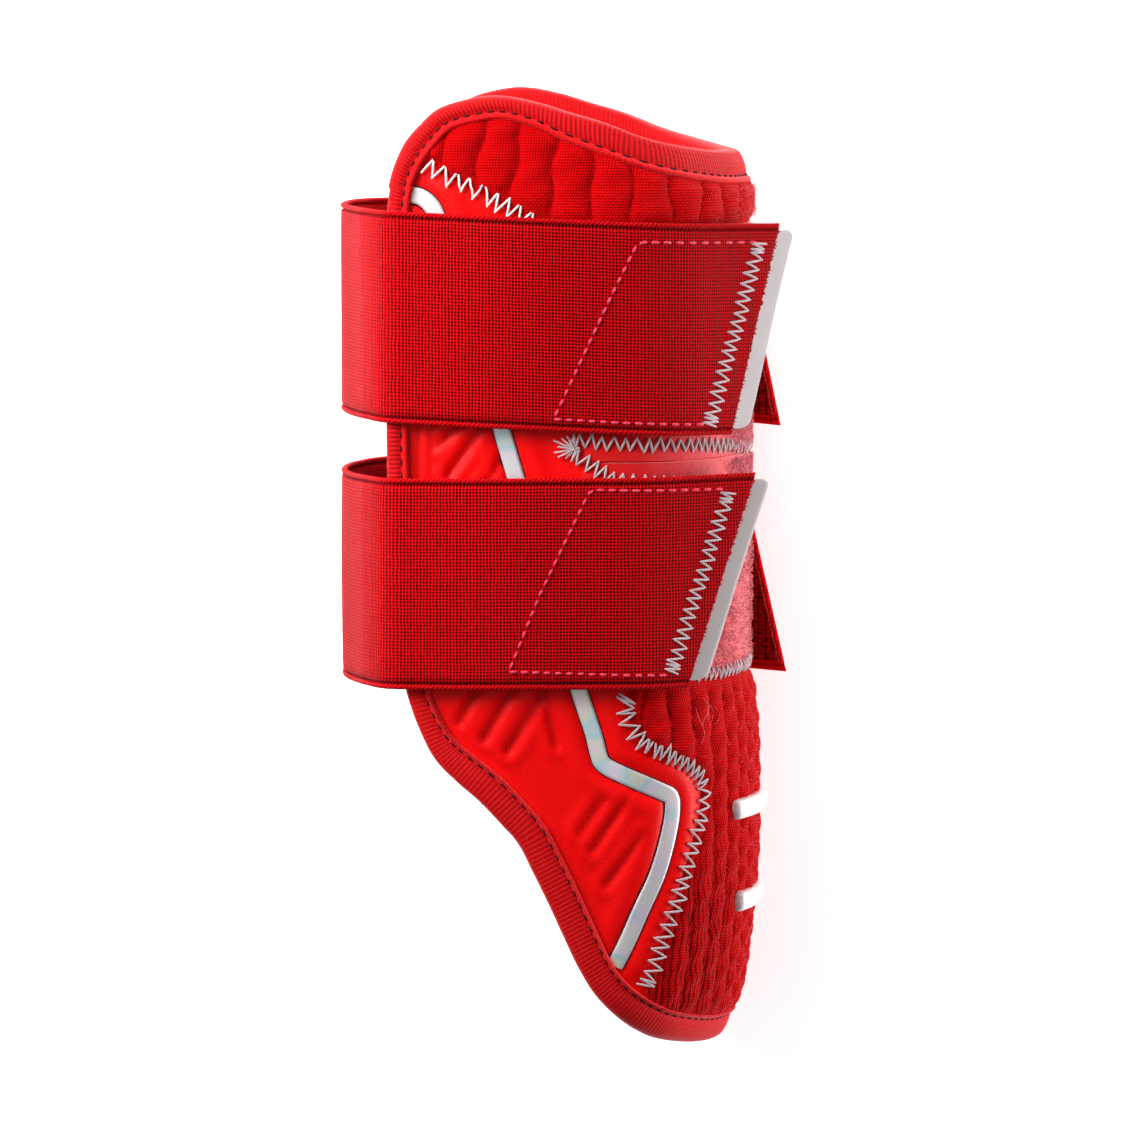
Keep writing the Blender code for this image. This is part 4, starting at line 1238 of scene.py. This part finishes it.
def build_knit_lower(sizes, colours):
    """Grid over share across and share down; the side follows the seam and the foot the tape."""
    side = smooth_line(KNIT_SIDE, 8) * MM
    across = np.linspace(1.0, -1.0, 176)
    down = np.linspace(1.0, 0.0, 128)[:, None]
    top = KNIT_LOWER_TOP
    foot_level = side[-1, 1]
    level = top + (foot_level - top) * down
    half = np.interp(-level, -side[:, 1], side[:, 0])
    foot = limits(across * side[-1, 0], -0.6 * MM, with_tape=True)[0]
    height = level + (foot - foot_level) * down ** 3
    arcs = across * half
    crest, line = quilt(arcs, height, 0.68 * sizes.quilt_pitch, 0.2, slant=4.0 * MM)
    border = np.minimum(half * (1.0 - np.abs(across)) - 1.8 * MM, height - foot)
    border = np.sqrt(unit(np.minimum(border, top - height - 1.0 * MM) / (3.4 * MM)))
    out = KNIT_BASE + 1.1 * sizes.quilt_rise * crest * border
    outer = on_pad(arcs, height, out)
    inner = on_pad(arcs, height, KNIT_FOOT)
    uv = np.stack([arcs, height], axis=-1) / MM
    # Share of the groove between cells, which the knit's finish darkens as painted shade
    sunk = unit(1.0 - line / 0.14) * border
    # Where the wrinkle lines show; the knit's finish darkens them as painted shade
    wrinkle = (np.clip((-height / MM - 56.0) / 22.0, 0.06, 1.0)
               * unit((np.abs(arcs) / MM - 14.0) / 16.0))
    piece = add_slab("knit_lower", outer, inner, [material("knit", knit_finish, colours, sizes)],
                     "knit", node="knit_panel_lower", uv=uv,
                     values=[("sunk", sunk), ("wrinkle", wrinkle)])


def build_pile(label, patch, sizes, colours):
    """A backing over arc and height, and loops of fibre on it: half circles that start at random
    points, lean at random and stand the pile's length high."""
    low, high = patch["low"], patch["high"]
    arc = np.linspace(1.0, -1.0, 100) * LOOP_HALF
    height = np.linspace(low, high, 40)[:, None] * MM
    arcs = arc + 0.0 * height
    rim = high * MM - height if label == "upper" else height - low * MM
    border = np.minimum(LOOP_HALF - np.abs(arcs), rim + 0.0 * arcs)
    out = (0.1 + 0.75 * np.sqrt(unit(border / (1.2 * MM)))) * MM
    # Share of the ground's painted highlight: whole within 30 mm of the ridge, none past 52 mm or
    # above 80 mm
    nap_highlight = unit((52.0 * MM - np.abs(arcs)) / (22.0 * MM)) * unit((80.0 * MM - height) / (4.0 * MM))
    add_slab("loop_backing_" + label, on_pad(arcs, height, out), on_pad(arcs, height, -0.3 * MM),
             [material("loop_ground", ground_finish, colours)], "loop_pile",
             node="loop_patch_" + label, values=[("nap_highlight", nap_highlight)])
    rng = np.random.default_rng(patch["seed"])
    column = (LOOP_COUNT, 1)
    start = rng.uniform(-54.0, 54.0, LOOP_COUNT) * MM
    ridge = rng.random(LOOP_COUNT) < 0.45
    start = np.where(ridge, np.sign(start) * rng.uniform(18.0, 46.0, LOOP_COUNT) * MM, start)
    level = rng.uniform(low + 0.8, high - 0.8, LOOP_COUNT) * MM
    start = np.where(np.abs(level - 31.0 * MM) < 6.0 * MM, start * 0.45, start)
    heading = rng.uniform(0.0, 2.0 * math.pi, column)
    span = rng.uniform(0.35, 0.9, column) * MM
    turn = np.linspace(0.0, math.pi, 5)[None, :]
    way = -np.cos(turn) * span
    arcs = start[:, None] + np.cos(heading) * way
    lean = np.sin(turn) * rng.normal(0.0, 0.2, column) * MM
    heights = level[:, None] + np.sin(heading) * way + lean
    lift = KNIT_BASE + np.sin(turn) * sizes.pile_length * rng.uniform(0.5, 1.7, column)
    point, normal = over_pad(arcs, heights, lift)
    sideways = np.cross(normal, np.roll(normal, 1, axis=-1))
    add_threads("loop_pile_" + label, point, sideways, LOOP_RADIUS * np.ones(5),
                [material("loop_pile", pile_finish, colours)], "loop_pile", sides=3)


def build_stripe(label, side, sizes, colours):
    """Two ribbons along the stripe's centre line: the film, crowned by a half ellipse across it,
    and a dark strip a little wider under it that shows as a thin outline, the painted shadow of the
    channel it lies in."""
    step = 0.8
    line = evenly(smooth_line(STRIPE, 8), step) * MM
    across = square_to(line)
    gone = np.arange(len(line)) * step
    for name, half, low, crest, finish, node in (
            ("stripe_" + label, sizes.stripe_width / 2.0, -0.2, 0.28,
             material("silver_film", silver_finish, colours), "stripe_" + label),
            # Painted shadow: the dark outline strip round the film
            ("stripe_outline_" + label, sizes.stripe_width / 2.0 + 0.42 * MM, -0.36, 0.04,
             material("stripe_outline", dark_finish, "stripe_outline", colours.outline[:]), ())):
        share = np.linspace(-1.0, 1.0, 13)[:, None]
        point = line[None] + across[None] * (share * half)[..., None]
        out = low * MM + (crest - low) * MM * (1.0 - share ** 8) ** 0.5 + 0.0 * gone
        outer = on_pad(point[..., 0] * side, point[..., 1], out)
        inner = on_pad(point[..., 0] * side, point[..., 1], (low - 0.3) * MM + 0.0 * out)
        uv = np.stack([gone + 0.0 * out, share * half / MM + 0.0 * out], axis=-1)
        add_slab(name, outer, inner, [finish], "silver_film", node=node, uv=uv)


def build_bar(label, bar, sizes, colours):
    """Grid over arc and height; its height is a round pillow: a root of one minus the tenth
    power across and along it."""
    along = np.linspace(1.0, -1.0, 90)
    across = np.linspace(-1.0, 1.0, 16)[:, None]
    half = sizes.bar_width / 2.0
    reach = bar["half_length"] * MM
    past = unit((np.abs(along) * reach - reach + half) / half)
    corner = np.sqrt(unit(1.0 - past ** 2.6))
    arcs = along * reach + 0.0 * across
    height = bar["mid"] * MM + half * across * (0.12 + 0.88 * corner)
    dome = np.sqrt(unit(1.0 - across ** 4)) * (0.25 + 0.75 * corner)
    ridge = 1.0 - 0.22 * np.abs(across)
    out = 2.3 * MM + 1.75 * MM * dome * ridge
    add_slab("raised_bar_" + label, on_pad(arcs, height, out), on_pad(arcs, height, 1.5 * MM),
             [material("raised_bar", bar_finish, colours)], "raised_bar", node="ridge_bar_" + label)


def strap_profile(level):
    """Height over and under a strap's middle, by level across it: a rolled edge like half a
    circle, a furrow inside it, then flat. Also the share of edge and of furrow."""
    away = (0.5 - np.abs(level - 0.5)) * STRAP_WIDTH / MM
    roll = np.sqrt(unit(1.0 - ((away - 0.65) / 0.65) ** 2)) * (away < 1.3)
    furrow = np.exp(-((away - 1.45) / 0.24) ** 2)
    flat = 1.0 / (1.0 + np.exp(-(away - 1.6) / 0.10))
    half = 0.14 + 0.86 * np.maximum(roll, flat * 0.84) - 0.25 * furrow
    return half * STRAP_THICKNESS / 2.0, unit((1.40 - away) / 0.2), furrow


def strap_tip(strap, side, level):
    """Distance from the shoulder to the slanted tip at each level."""
    lift = math.radians(strap["lift"]) if side > 0 else FAR_LIFT
    top, foot = strap["near_tips"] if side > 0 else strap["far_tips"]
    start = np.interp(0.0, *strap_trace(strap, side)[:, :2].T)
    return ((foot + (top - foot) * level) * MM - start) / math.sin(lift)


def build_strap(label, strap, sizes, colours):
    """Grid over level and run: the near half from its tip to the back's middle, then the far half
    back out to its tip, with slow waves of a few tenths of a millimetre."""
    edge = np.array([0.0, 0.12, 0.3, 0.6, 0.9, 1.15, 1.3, 1.45, 1.6, 1.85]) * MM / STRAP_WIDTH
    flat = np.linspace(edge[-1], 1.0 - edge[-1], 36)[1:-1]
    level = np.concatenate([edge, flat, 1.0 - edge[::-1]])[:, None]
    thick, rolled, furrow = strap_profile(level)
    halves = []
    for side in (1, -1):
        tip = strap_tip(strap, side, level)
        end = strap_trace(strap, side)[-1, 0]
        run = np.hstack([tip * (np.linspace(0.0, 1.0, 26) - 1.0),
                         np.linspace(0.0, end, 112)[1:] + 0.0 * level])
        wave = (0.10 * np.sin(run / (9.0 * MM) + 3.0 * level)
                + 0.08 * np.sin(run / (3.7 * MM) - 5.0 * level))
        rounding = round_over((run + tip) / (0.5 * MM)) * 0.75 + 0.25
        x = np.interp(run, *strap_trace(strap, side)[:, :2].T) / MM
        fold = 0.22 * np.exp(-((x + 45.0) / 0.7) ** 2)
        middle = STRAP_THICKNESS / 2.0 + (wave * unit(run / (20.0 * MM)) - fold) * MM
        outer, _ = on_strap_run(strap, side, run, level, middle + thick * rounding)
        inner, _ = on_strap_run(strap, side, run, level, middle - thick * rounding)
        # fold: 1 where the strap turns round the wing's edge, fading over the back; the elastic's
        # finish paints a pink highlight by it
        past = (run - strap_run_at(strap, STRAP_BACK_X + 6.0 * MM)) / (26.0 * MM)
        bend = unit((-44.5 - x) / 2.5) * np.clip(1.0 - past, 0.15, 1.0)
        # The fourth item, column, is 1 on the left part of the near run: it changes the weave there
        # and paints the strap lighter
        halves.append((outer, inner, run, unit((2.0 - x) / 22.0), bend))
    near, far = halves
    outer, inner, column, bend = (np.concatenate([near[k], far[k][:, -2::-1]], axis=1)
                                  for k in (0, 1, 3, 4))
    near_end = near[2][:, -1:]
    run = np.concatenate([near[2], near_end + far[2][:, -1:] - far[2][:, -2::-1]], axis=1)
    uv = np.stack([run / MM, level * STRAP_WIDTH / MM + 0.0 * run], axis=-1)
    piece = add_slab("elastic_strap_" + label, outer, inner,
                     [material("elastic", elastic_finish, colours, sizes)], "elastic",
                     node="strap_" + label, uv=uv,
                     values=[("edge", rolled + 0.0 * run), ("sunk", furrow + 0.0 * run),
                             ("column", column), ("fold", bend)])
    return piece


def build_strap_stitches(label, strap, sizes, colours):
    """Straight stitching as short dashes along a line on the near run, and a zigzag whose legs
    run between two lines, each leg bowed up between its needle holes."""
    stitches = STRAP_STITCHES[label]
    paths = dashes(evenly(smooth_line(stitches["box"], 1), 0.45) * MM)
    out = STITCH_BASE + np.array([-0.22, 0.10, 0.18, 0.10, -0.22]) * MM
    point, normal = on_near_run(strap, paths[..., 0], paths[..., 1], out + 0.0 * paths[..., 0])
    add_threads("box_stitch_" + label, point, normal,
                np.array([0.18, 0.32, 0.35, 0.32, 0.18]) * MM,
                [material("pink_thread", thread_finish, "pink_thread", colours.pink_thread[:])],
                "elastic")
    corners = zigzag_corners(np.array(stitches["zigzag"]) * MM, 2.75 * MM, 3.2 * MM, seed=11,
                             dense=5)

    def over_strap(x, y, out):
        return on_near_run(strap, x, y, STITCH_BASE + out)
    add_zigzag("strap_zigzag_" + label, corners, over_strap, sizes, colours, "grey", "elastic")


def zigzag_corners(line, pitch, width, seed, dense=3, crowd=1.0):
    """Needle holes of a zigzag: points at equal distances along a line, moved square to it by half
    the width to each side by turns. They lie closer together over the first and last dense teeth,
    and by the factor crowd over the line's second quarter and a little before and after."""
    spacing = 0.2 * MM
    fine = evenly(line, spacing)
    square = square_to(fine)
    away = np.arange(len(fine)) * spacing
    teeth = 2 * int(round(away[-1] / pitch)) + 2 * dense
    step = np.ones(teeth)
    if dense:
        step[:dense] = step[-dense:] = 0.45
    step *= np.interp(np.arange(teeth) / teeth, (0.1, 0.15, 0.42, 0.47), (1.0, crowd, crowd, 1.0))
    stations = np.concatenate([[0.0], np.cumsum(step)])
    stations = stations / stations[-1] * away[-1]
    rng = np.random.default_rng(seed)
    stations[1:-1] += rng.normal(0.0, 0.07, teeth - 1) * pitch
    reach = width / 2.0 * (1.0 + rng.normal(0.0, 0.10, teeth + 1))
    sign = np.where(np.arange(teeth + 1) % 2, -1.0, 1.0)
    spot = np.column_stack([np.interp(stations, away, fine[:, k]) for k in (0, 1)])
    turn = np.column_stack([np.interp(stations, away, square[:, k]) for k in (0, 1)])
    return spot + turn * (reach * sign)[:, None]


def add_zigzag(name, corners, place, sizes, colours, thread, slot):
    """One thread for each leg between two needle holes, dipping at both ends."""
    share = np.linspace(-0.04, 1.04, 8)
    flat = corners[:-1, None] + (corners[1:, None] - corners[:-1, None]) * share[:, None]
    bow = np.sin(math.pi * unit(share))
    out = (-0.10 + 0.42 * bow ** 0.6) * MM + 0.0 * flat[..., 0]
    point, normal = place(flat[..., 0], flat[..., 1], out)
    radius = sizes.thread_radius * (0.75 + 0.25 * bow)
    colour = {"white": colours.white_thread, "grey": colours.grey_thread}[thread]
    add_threads(name, point, normal, radius,
                [material(thread + "_thread", thread_finish, thread + "_thread", colour[:])], slot)


def build_seams(sizes, colours):
    """Zigzag seams over the pad, each across the ridge or on both wings."""
    for seed, (label, seam) in enumerate(SEAMS.items()):
        line = smooth_line(seam["line"], 6) * MM
        other = line * np.array([-1.0, 1.0])
        if seam["mirror"] == "joined":
            runs = [("", np.vstack([line, other[-2::-1]]))]
        else:
            runs = [("_near", line), ("_far", other)]
        for ending, run in runs:
            corners = zigzag_corners(run, seam["pitch"] * MM, seam["width"] * MM, seed + 3,
                                     dense=0 if seam["thread"] == "white" else 3,
                                     crowd=0.66 if label == "knit_lower" else 1.0)
            add_zigzag("seam_" + label + ending, corners, over_seam, sizes, colours,
                       seam["thread"], "loop_pile" if "loop" in label else "knit")


def build_star(sizes, colours):
    """The first stitches of the two loop seams: crossed rays from one needle hole, on each wing."""
    rays = np.array(STAR)
    turn = np.radians(rays[:, :1])
    share = np.linspace(-0.25, 1.0, 8)[None, :]
    reach = rays[:, 1:] * MM * share
    layer = 0.06 * np.arange(len(rays))[:, None]
    lift = (0.4 * np.sin(math.pi * (share + 0.25) / 1.25) + layer) * MM
    finish = material("grey_thread", thread_finish, "grey_thread", colours.grey_thread[:])
    for side, label in ((1.0, "near"), (-1.0, "far")):
        arc = (STAR_HOLE[0] * MM - np.cos(turn) * reach) * side
        point, normal = over_seam(arc, STAR_HOLE[1] * MM + np.sin(turn) * reach, lift)
        add_threads("star_stitch_" + label, point, normal,
                    sizes.thread_radius * (0.8 + 0.0 * share[0]), [finish], "loop_pile")


def build_hairs(colours):
    """Stray fibres that curl out of the knit below the lower strap: steps whose heading sways by
    a sine."""
    rng = np.random.default_rng(21)
    column = (6, 1)
    share = np.linspace(0.0, 1.0, 14)[None, :]
    heading = (rng.uniform(-1.8, -1.3, column)
               + 0.5 * np.sin(4.0 * share + rng.uniform(0.0, 6.0, column)))
    step = rng.uniform(4.0, 9.0, column) * MM / 13.0
    arc = rng.uniform(32.0, 39.0, column) * MM + np.cumsum(np.cos(heading) * step, axis=1)
    height = rng.uniform(-31.0, -25.5, column) * MM + np.cumsum(np.sin(heading) * step, axis=1)
    lift = (2.4 + 1.6 * np.sin(math.pi * share) * rng.uniform(0.3, 1.0, column)) * MM
    add_threads("stray_fibres", *over_pad(arc, height, lift), FIBRE_RADIUS * np.ones(14),
                [material("loop_pile", pile_finish, colours)], "knit", sides=3)


def build_fuzz(colours):
    """Loose fibre ends on the ridge of both knit panels: short, thin and leaning at random."""
    rng = np.random.default_rng(41)
    column = (FIBRE_COUNT, 1)
    low, high = limits(np.zeros(1), 1.0 * MM, with_tape=True)
    upper = rng.random(FIBRE_COUNT) < 0.32
    height = np.where(upper, rng.uniform(87.0 * MM, high[0], FIBRE_COUNT),
                      rng.uniform(low[0], -28.0 * MM, FIBRE_COUNT))
    arc = rng.normal(0.0, 13.0, FIBRE_COUNT) * MM
    share = np.linspace(0.0, 1.0, 4)[None, :]
    lean = rng.uniform(0.0, 2.0 * math.pi, column) + rng.normal(0.0, 0.8, column) * share
    reach = rng.uniform(0.3, 1.1, column) * MM * share
    arcs = arc[:, None] + np.cos(lean) * reach
    heights = height[:, None] + np.sin(lean) * reach
    lift = (1.1 + rng.uniform(0.0, 1.0, column) + rng.uniform(0.2, 0.9, column) * share) * MM
    add_threads("knit_fuzz", *over_pad(arcs, heights, lift),
                np.array([0.035, 0.035, 0.03, 0.015]) * MM,
                [material("fuzz", thread_finish, "fuzz", colours.fuzz[:])], "knit", sides=3)


def build_fray(label, strap, colours):
    """Cut yarn ends along the slanted tip of the near run, short and uneven."""
    rng = np.random.default_rng(31)
    column = (FRAY_COUNT, 1)
    level = rng.uniform(0.02, 0.98, column)
    tip = strap_tip(strap, 1, level)
    share = np.linspace(0.0, 1.0, 4)[None, :]
    reach = rng.uniform(0.2, 0.8, column) * MM
    run = -tip + 0.3 * MM - reach * share
    slide = level + rng.normal(0.0, 0.004, column) * share
    out = rng.uniform(0.3, 1.4, column) * MM + rng.normal(0.0, 0.12, column) * MM * share
    add_threads("frayed_end_" + label, *on_strap_run(strap, 1, run, slide, out),
                np.array([0.16, 0.15, 0.12, 0.05]) * MM,
                [material("fray", dark_finish, "fray", shade(colours.elastic, 1.2))],
                "elastic", sides=4)


def build_tab(label, strap, colours):
    """Grid over level and run past the near tip: a folded ribbon with round corners."""
    foot, top, tuck = 0.025, 0.965, 2.7 * MM
    level = np.linspace(foot, top, 60)[:, None]
    tip = strap_tip(strap, 1, level)
    share = np.linspace(0.0, 1.0, 16)
    corner = 2.2 * MM
    from_end = np.minimum(level - foot, top - level) * STRAP_WIDTH
    cut = corner * (1.0 - round_over(from_end / corner))
    reach = TAB_REACH / math.sin(math.radians(strap["lift"])) - cut
    run = -(tip + reach) + (reach + tuck) * share
    edge = np.minimum(share[None, :] * (reach + tuck), from_end) / (0.4 * MM)
    half = 0.42 * MM * np.maximum(round_over(edge), 0.2)
    bow = 0.18 * MM * np.sin(6.0 * level + 0.8) * (1.0 - share)
    middle = -0.85 * MM + bow
    outer, _ = on_strap_run(strap, 1, run, level, middle + half)
    inner, _ = on_strap_run(strap, 1, run, level, middle - half)
    uv = np.stack([run / MM, level * STRAP_WIDTH / MM + 0.0 * run], axis=-1)
    add_slab("pull_tab_" + label, outer, inner, [material("satin", satin_finish, colours)],
             "satin_tab", node="strap_tab_" + label, uv=uv)


def paint_hooks(colours):
    """The hook patches keep their own solids and get the hook finish."""
    finish = material("hook", hook_finish, colours)
    for label in STRAPS:
        for side in ("near", "far"):
            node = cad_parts["hook_patch_" + side + "_" + label]
            node.data.materials.clear()
            node.data.materials.append(finish)


# ---- stage -----------------------------------------------------------------------------------


def build_floor(colours):
    """Square pale floor that glows a little."""
    half = FLOOR_HALF
    mesh = bpy.data.meshes.new("floor")
    mesh.from_pydata([(-half, -half, 0.0), (half, -half, 0.0), (half, half, 0.0),
                      (-half, half, 0.0)], [], [(0, 1, 2, 3)])
    made = Finish("floor_finish", 0.9, Specular_IOR_Level=0.1,
                  Emission_Color=(1.0, 1.0, 1.0, 1.0), Emission_Strength=FLOOR_GLOW)
    tone = made.blend(made.noise(3.0, 2.0), shade(colours.floor, 0.995), colours.floor[:])
    mesh.materials.append(made.finish(tone))
    floor = bpy.data.objects.new("floor", mesh)
    bpy.context.scene.collection.objects.link(floor)


def build_stage(colours):
    """Pale floor, soft lights and the camera at the photograph's angle."""
    build_floor(colours)
    scene = bpy.context.scene
    world = bpy.data.worlds.new("studio")
    world.use_nodes = True
    sky = world.node_tree.nodes["Background"].inputs
    sky["Color"].default_value = (1.0, 1.0, 1.0, 1.0)
    sky["Strength"].default_value = WORLD_STRENGTH
    scene.world = world

    middle = Vector(SHIFT)
    for name, (place, size, watts, tint) in LIGHTS.items():
        lamp = bpy.data.lights.new(name, "AREA")
        lamp.shape = "RECTANGLE"
        lamp.size, lamp.size_y = size
        lamp.energy = watts
        lamp.color = tint
        lit = bpy.data.objects.new(name, lamp)
        lit.location = middle + Vector(place)
        lit.visible_camera = False
        lit.rotation_euler = (-Vector(place)).to_track_quat("-Z", "Y").to_euler()
        scene.collection.objects.link(lit)

    back = Vector((math.sin(CAMERA_SWING) * math.cos(CAMERA_TIP), math.sin(CAMERA_TIP),
                   math.cos(CAMERA_SWING) * math.cos(CAMERA_TIP)))
    right = Vector((0.0, 1.0, 0.0)).cross(back).normalized()
    view = bpy.data.cameras.new("camera")
    view.sensor_width = 36.0
    view.lens = view.sensor_width * CAMERA_AWAY / PIXEL_SIZE / IMAGE_WIDTH
    view.clip_end = 20.0
    camera = bpy.data.objects.new("camera", view)
    turned = Matrix((right, back.cross(right), back)).transposed().to_4x4()
    camera.matrix_world = Matrix.Translation(middle + back * CAMERA_AWAY) @ turned
    scene.collection.objects.link(camera)
    scene.camera = camera
    scene.view_settings.view_transform = "Standard"


# ---- add-on ----------------------------------------------------------------------------------


def settings(context):
    """Sizes and colours that the panel shows."""
    return context.scene.guard_sizes, context.scene.guard_colours


class GUARD_OT_cover(bpy.types.Operator):
    """Build the smooth cover with its creases and the lining inside it"""
    bl_idname = "elbow_guard.cover"
    bl_label = "Cover and lining"
    bl_options = {"REGISTER", "UNDO"}

    def execute(self, context):
        build_cover(*settings(context))
        return {"FINISHED"}


class GUARD_OT_binding(bpy.types.Operator):
    """Build the ribbed tape round the edge with its stitching"""
    bl_idname = "elbow_guard.binding"
    bl_label = "Edge binding"
    bl_options = {"REGISTER", "UNDO"}

    def execute(self, context):
        build_binding(*settings(context))
        return {"FINISHED"}


class GUARD_OT_knit(bpy.types.Operator):
    """Build the quilted knit panels above and below the straps"""
    bl_idname = "elbow_guard.knit"
    bl_label = "Quilted knit panels"
    bl_options = {"REGISTER", "UNDO"}

    def execute(self, context):
        build_knit_upper(*settings(context))
        build_knit_lower(*settings(context))
        return {"FINISHED"}


class GUARD_OT_pile(bpy.types.Operator):
    """Build the loop patches on the ridge with their fibres"""
    bl_idname = "elbow_guard.pile"
    bl_label = "Loop pile"
    bl_options = {"REGISTER", "UNDO"}

    def execute(self, context):
        for label, patch in LOOP_PATCHES.items():
            build_pile(label, patch, *settings(context))
        return {"FINISHED"}


class GUARD_OT_stripes(bpy.types.Operator):
    """Build the inlaid silver stripes"""
    bl_idname = "elbow_guard.stripes"
    bl_label = "Stripes"
    bl_options = {"REGISTER", "UNDO"}

    def execute(self, context):
        for label, side in (("near", 1.0), ("far", -1.0)):
            build_stripe(label, side, *settings(context))
        return {"FINISHED"}


class GUARD_OT_bars(bpy.types.Operator):
    """Build the raised bars on the elbow cup"""
    bl_idname = "elbow_guard.bars"
    bl_label = "Raised bars"
    bl_options = {"REGISTER", "UNDO"}

    def execute(self, context):
        for label, bar in BARS.items():
            build_bar(label, bar, *settings(context))
        return {"FINISHED"}


class GUARD_OT_seams(bpy.types.Operator):
    """Build the zigzag seams of the panels and the loose fibres"""
    bl_idname = "elbow_guard.seams"
    bl_label = "Zigzag seams"
    bl_options = {"REGISTER", "UNDO"}

    def execute(self, context):
        sizes, colours = settings(context)
        build_seams(sizes, colours)
        build_star(sizes, colours)
        build_hairs(colours)
        build_fuzz(colours)
        return {"FINISHED"}


class GUARD_OT_straps(bpy.types.Operator):
    """Build the elastic straps with their stitching, pull tabs and hook patches"""
    bl_idname = "elbow_guard.straps"
    bl_label = "Straps"
    bl_options = {"REGISTER", "UNDO"}

    def execute(self, context):
        sizes, colours = settings(context)
        for label, strap in STRAPS.items():
            build_strap(label, strap, sizes, colours)
            build_strap_stitches(label, strap, sizes, colours)
            build_tab(label, strap, colours)
            build_fray(label, strap, colours)
        paint_hooks(colours)
        return {"FINISHED"}


class GUARD_OT_stage(bpy.types.Operator):
    """Build the floor, the lights and the camera"""
    bl_idname = "elbow_guard.stage"
    bl_label = "Studio"
    bl_options = {"REGISTER", "UNDO"}

    def execute(self, context):
        build_stage(settings(context)[1])
        return {"FINISHED"}


OPERATORS = (GUARD_OT_cover, GUARD_OT_binding, GUARD_OT_knit, GUARD_OT_pile, GUARD_OT_stripes,
             GUARD_OT_bars, GUARD_OT_seams, GUARD_OT_straps, GUARD_OT_stage)


class GUARD_PT_panel(bpy.types.Panel):
    """Sidebar panel with the settings and one button for each group of pieces"""
    bl_idname = "GUARD_PT_panel"
    bl_label = "Elbow guard"
    bl_space_type = "VIEW_3D"
    bl_region_type = "UI"
    bl_category = "Elbow guard"

    def draw(self, context):
        for group in settings(context):
            box = self.layout.box()
            for label in group.__annotations__:
                box.prop(group, label)
        for operator in OPERATORS:
            self.layout.operator(operator.bl_idname)


def register():
    """Register the settings, operators and panel."""
    for part in (GuardSizes, GuardColours, *OPERATORS, GUARD_PT_panel):
        bpy.utils.register_class(part)
    bpy.types.Scene.guard_sizes = bpy.props.PointerProperty(type=GuardSizes)
    bpy.types.Scene.guard_colours = bpy.props.PointerProperty(type=GuardColours)


def unregister():
    """Remove them again."""
    del bpy.types.Scene.guard_sizes
    del bpy.types.Scene.guard_colours
    for part in reversed((GuardSizes, GuardColours, *OPERATORS, GUARD_PT_panel)):
        bpy.utils.unregister_class(part)


def main():
    """Register and build every piece in order."""
    register()
    for operator in OPERATORS:
        getattr(bpy.ops.elbow_guard, operator.bl_idname.split(".")[1])()


if __name__ == "__main__":
    main()
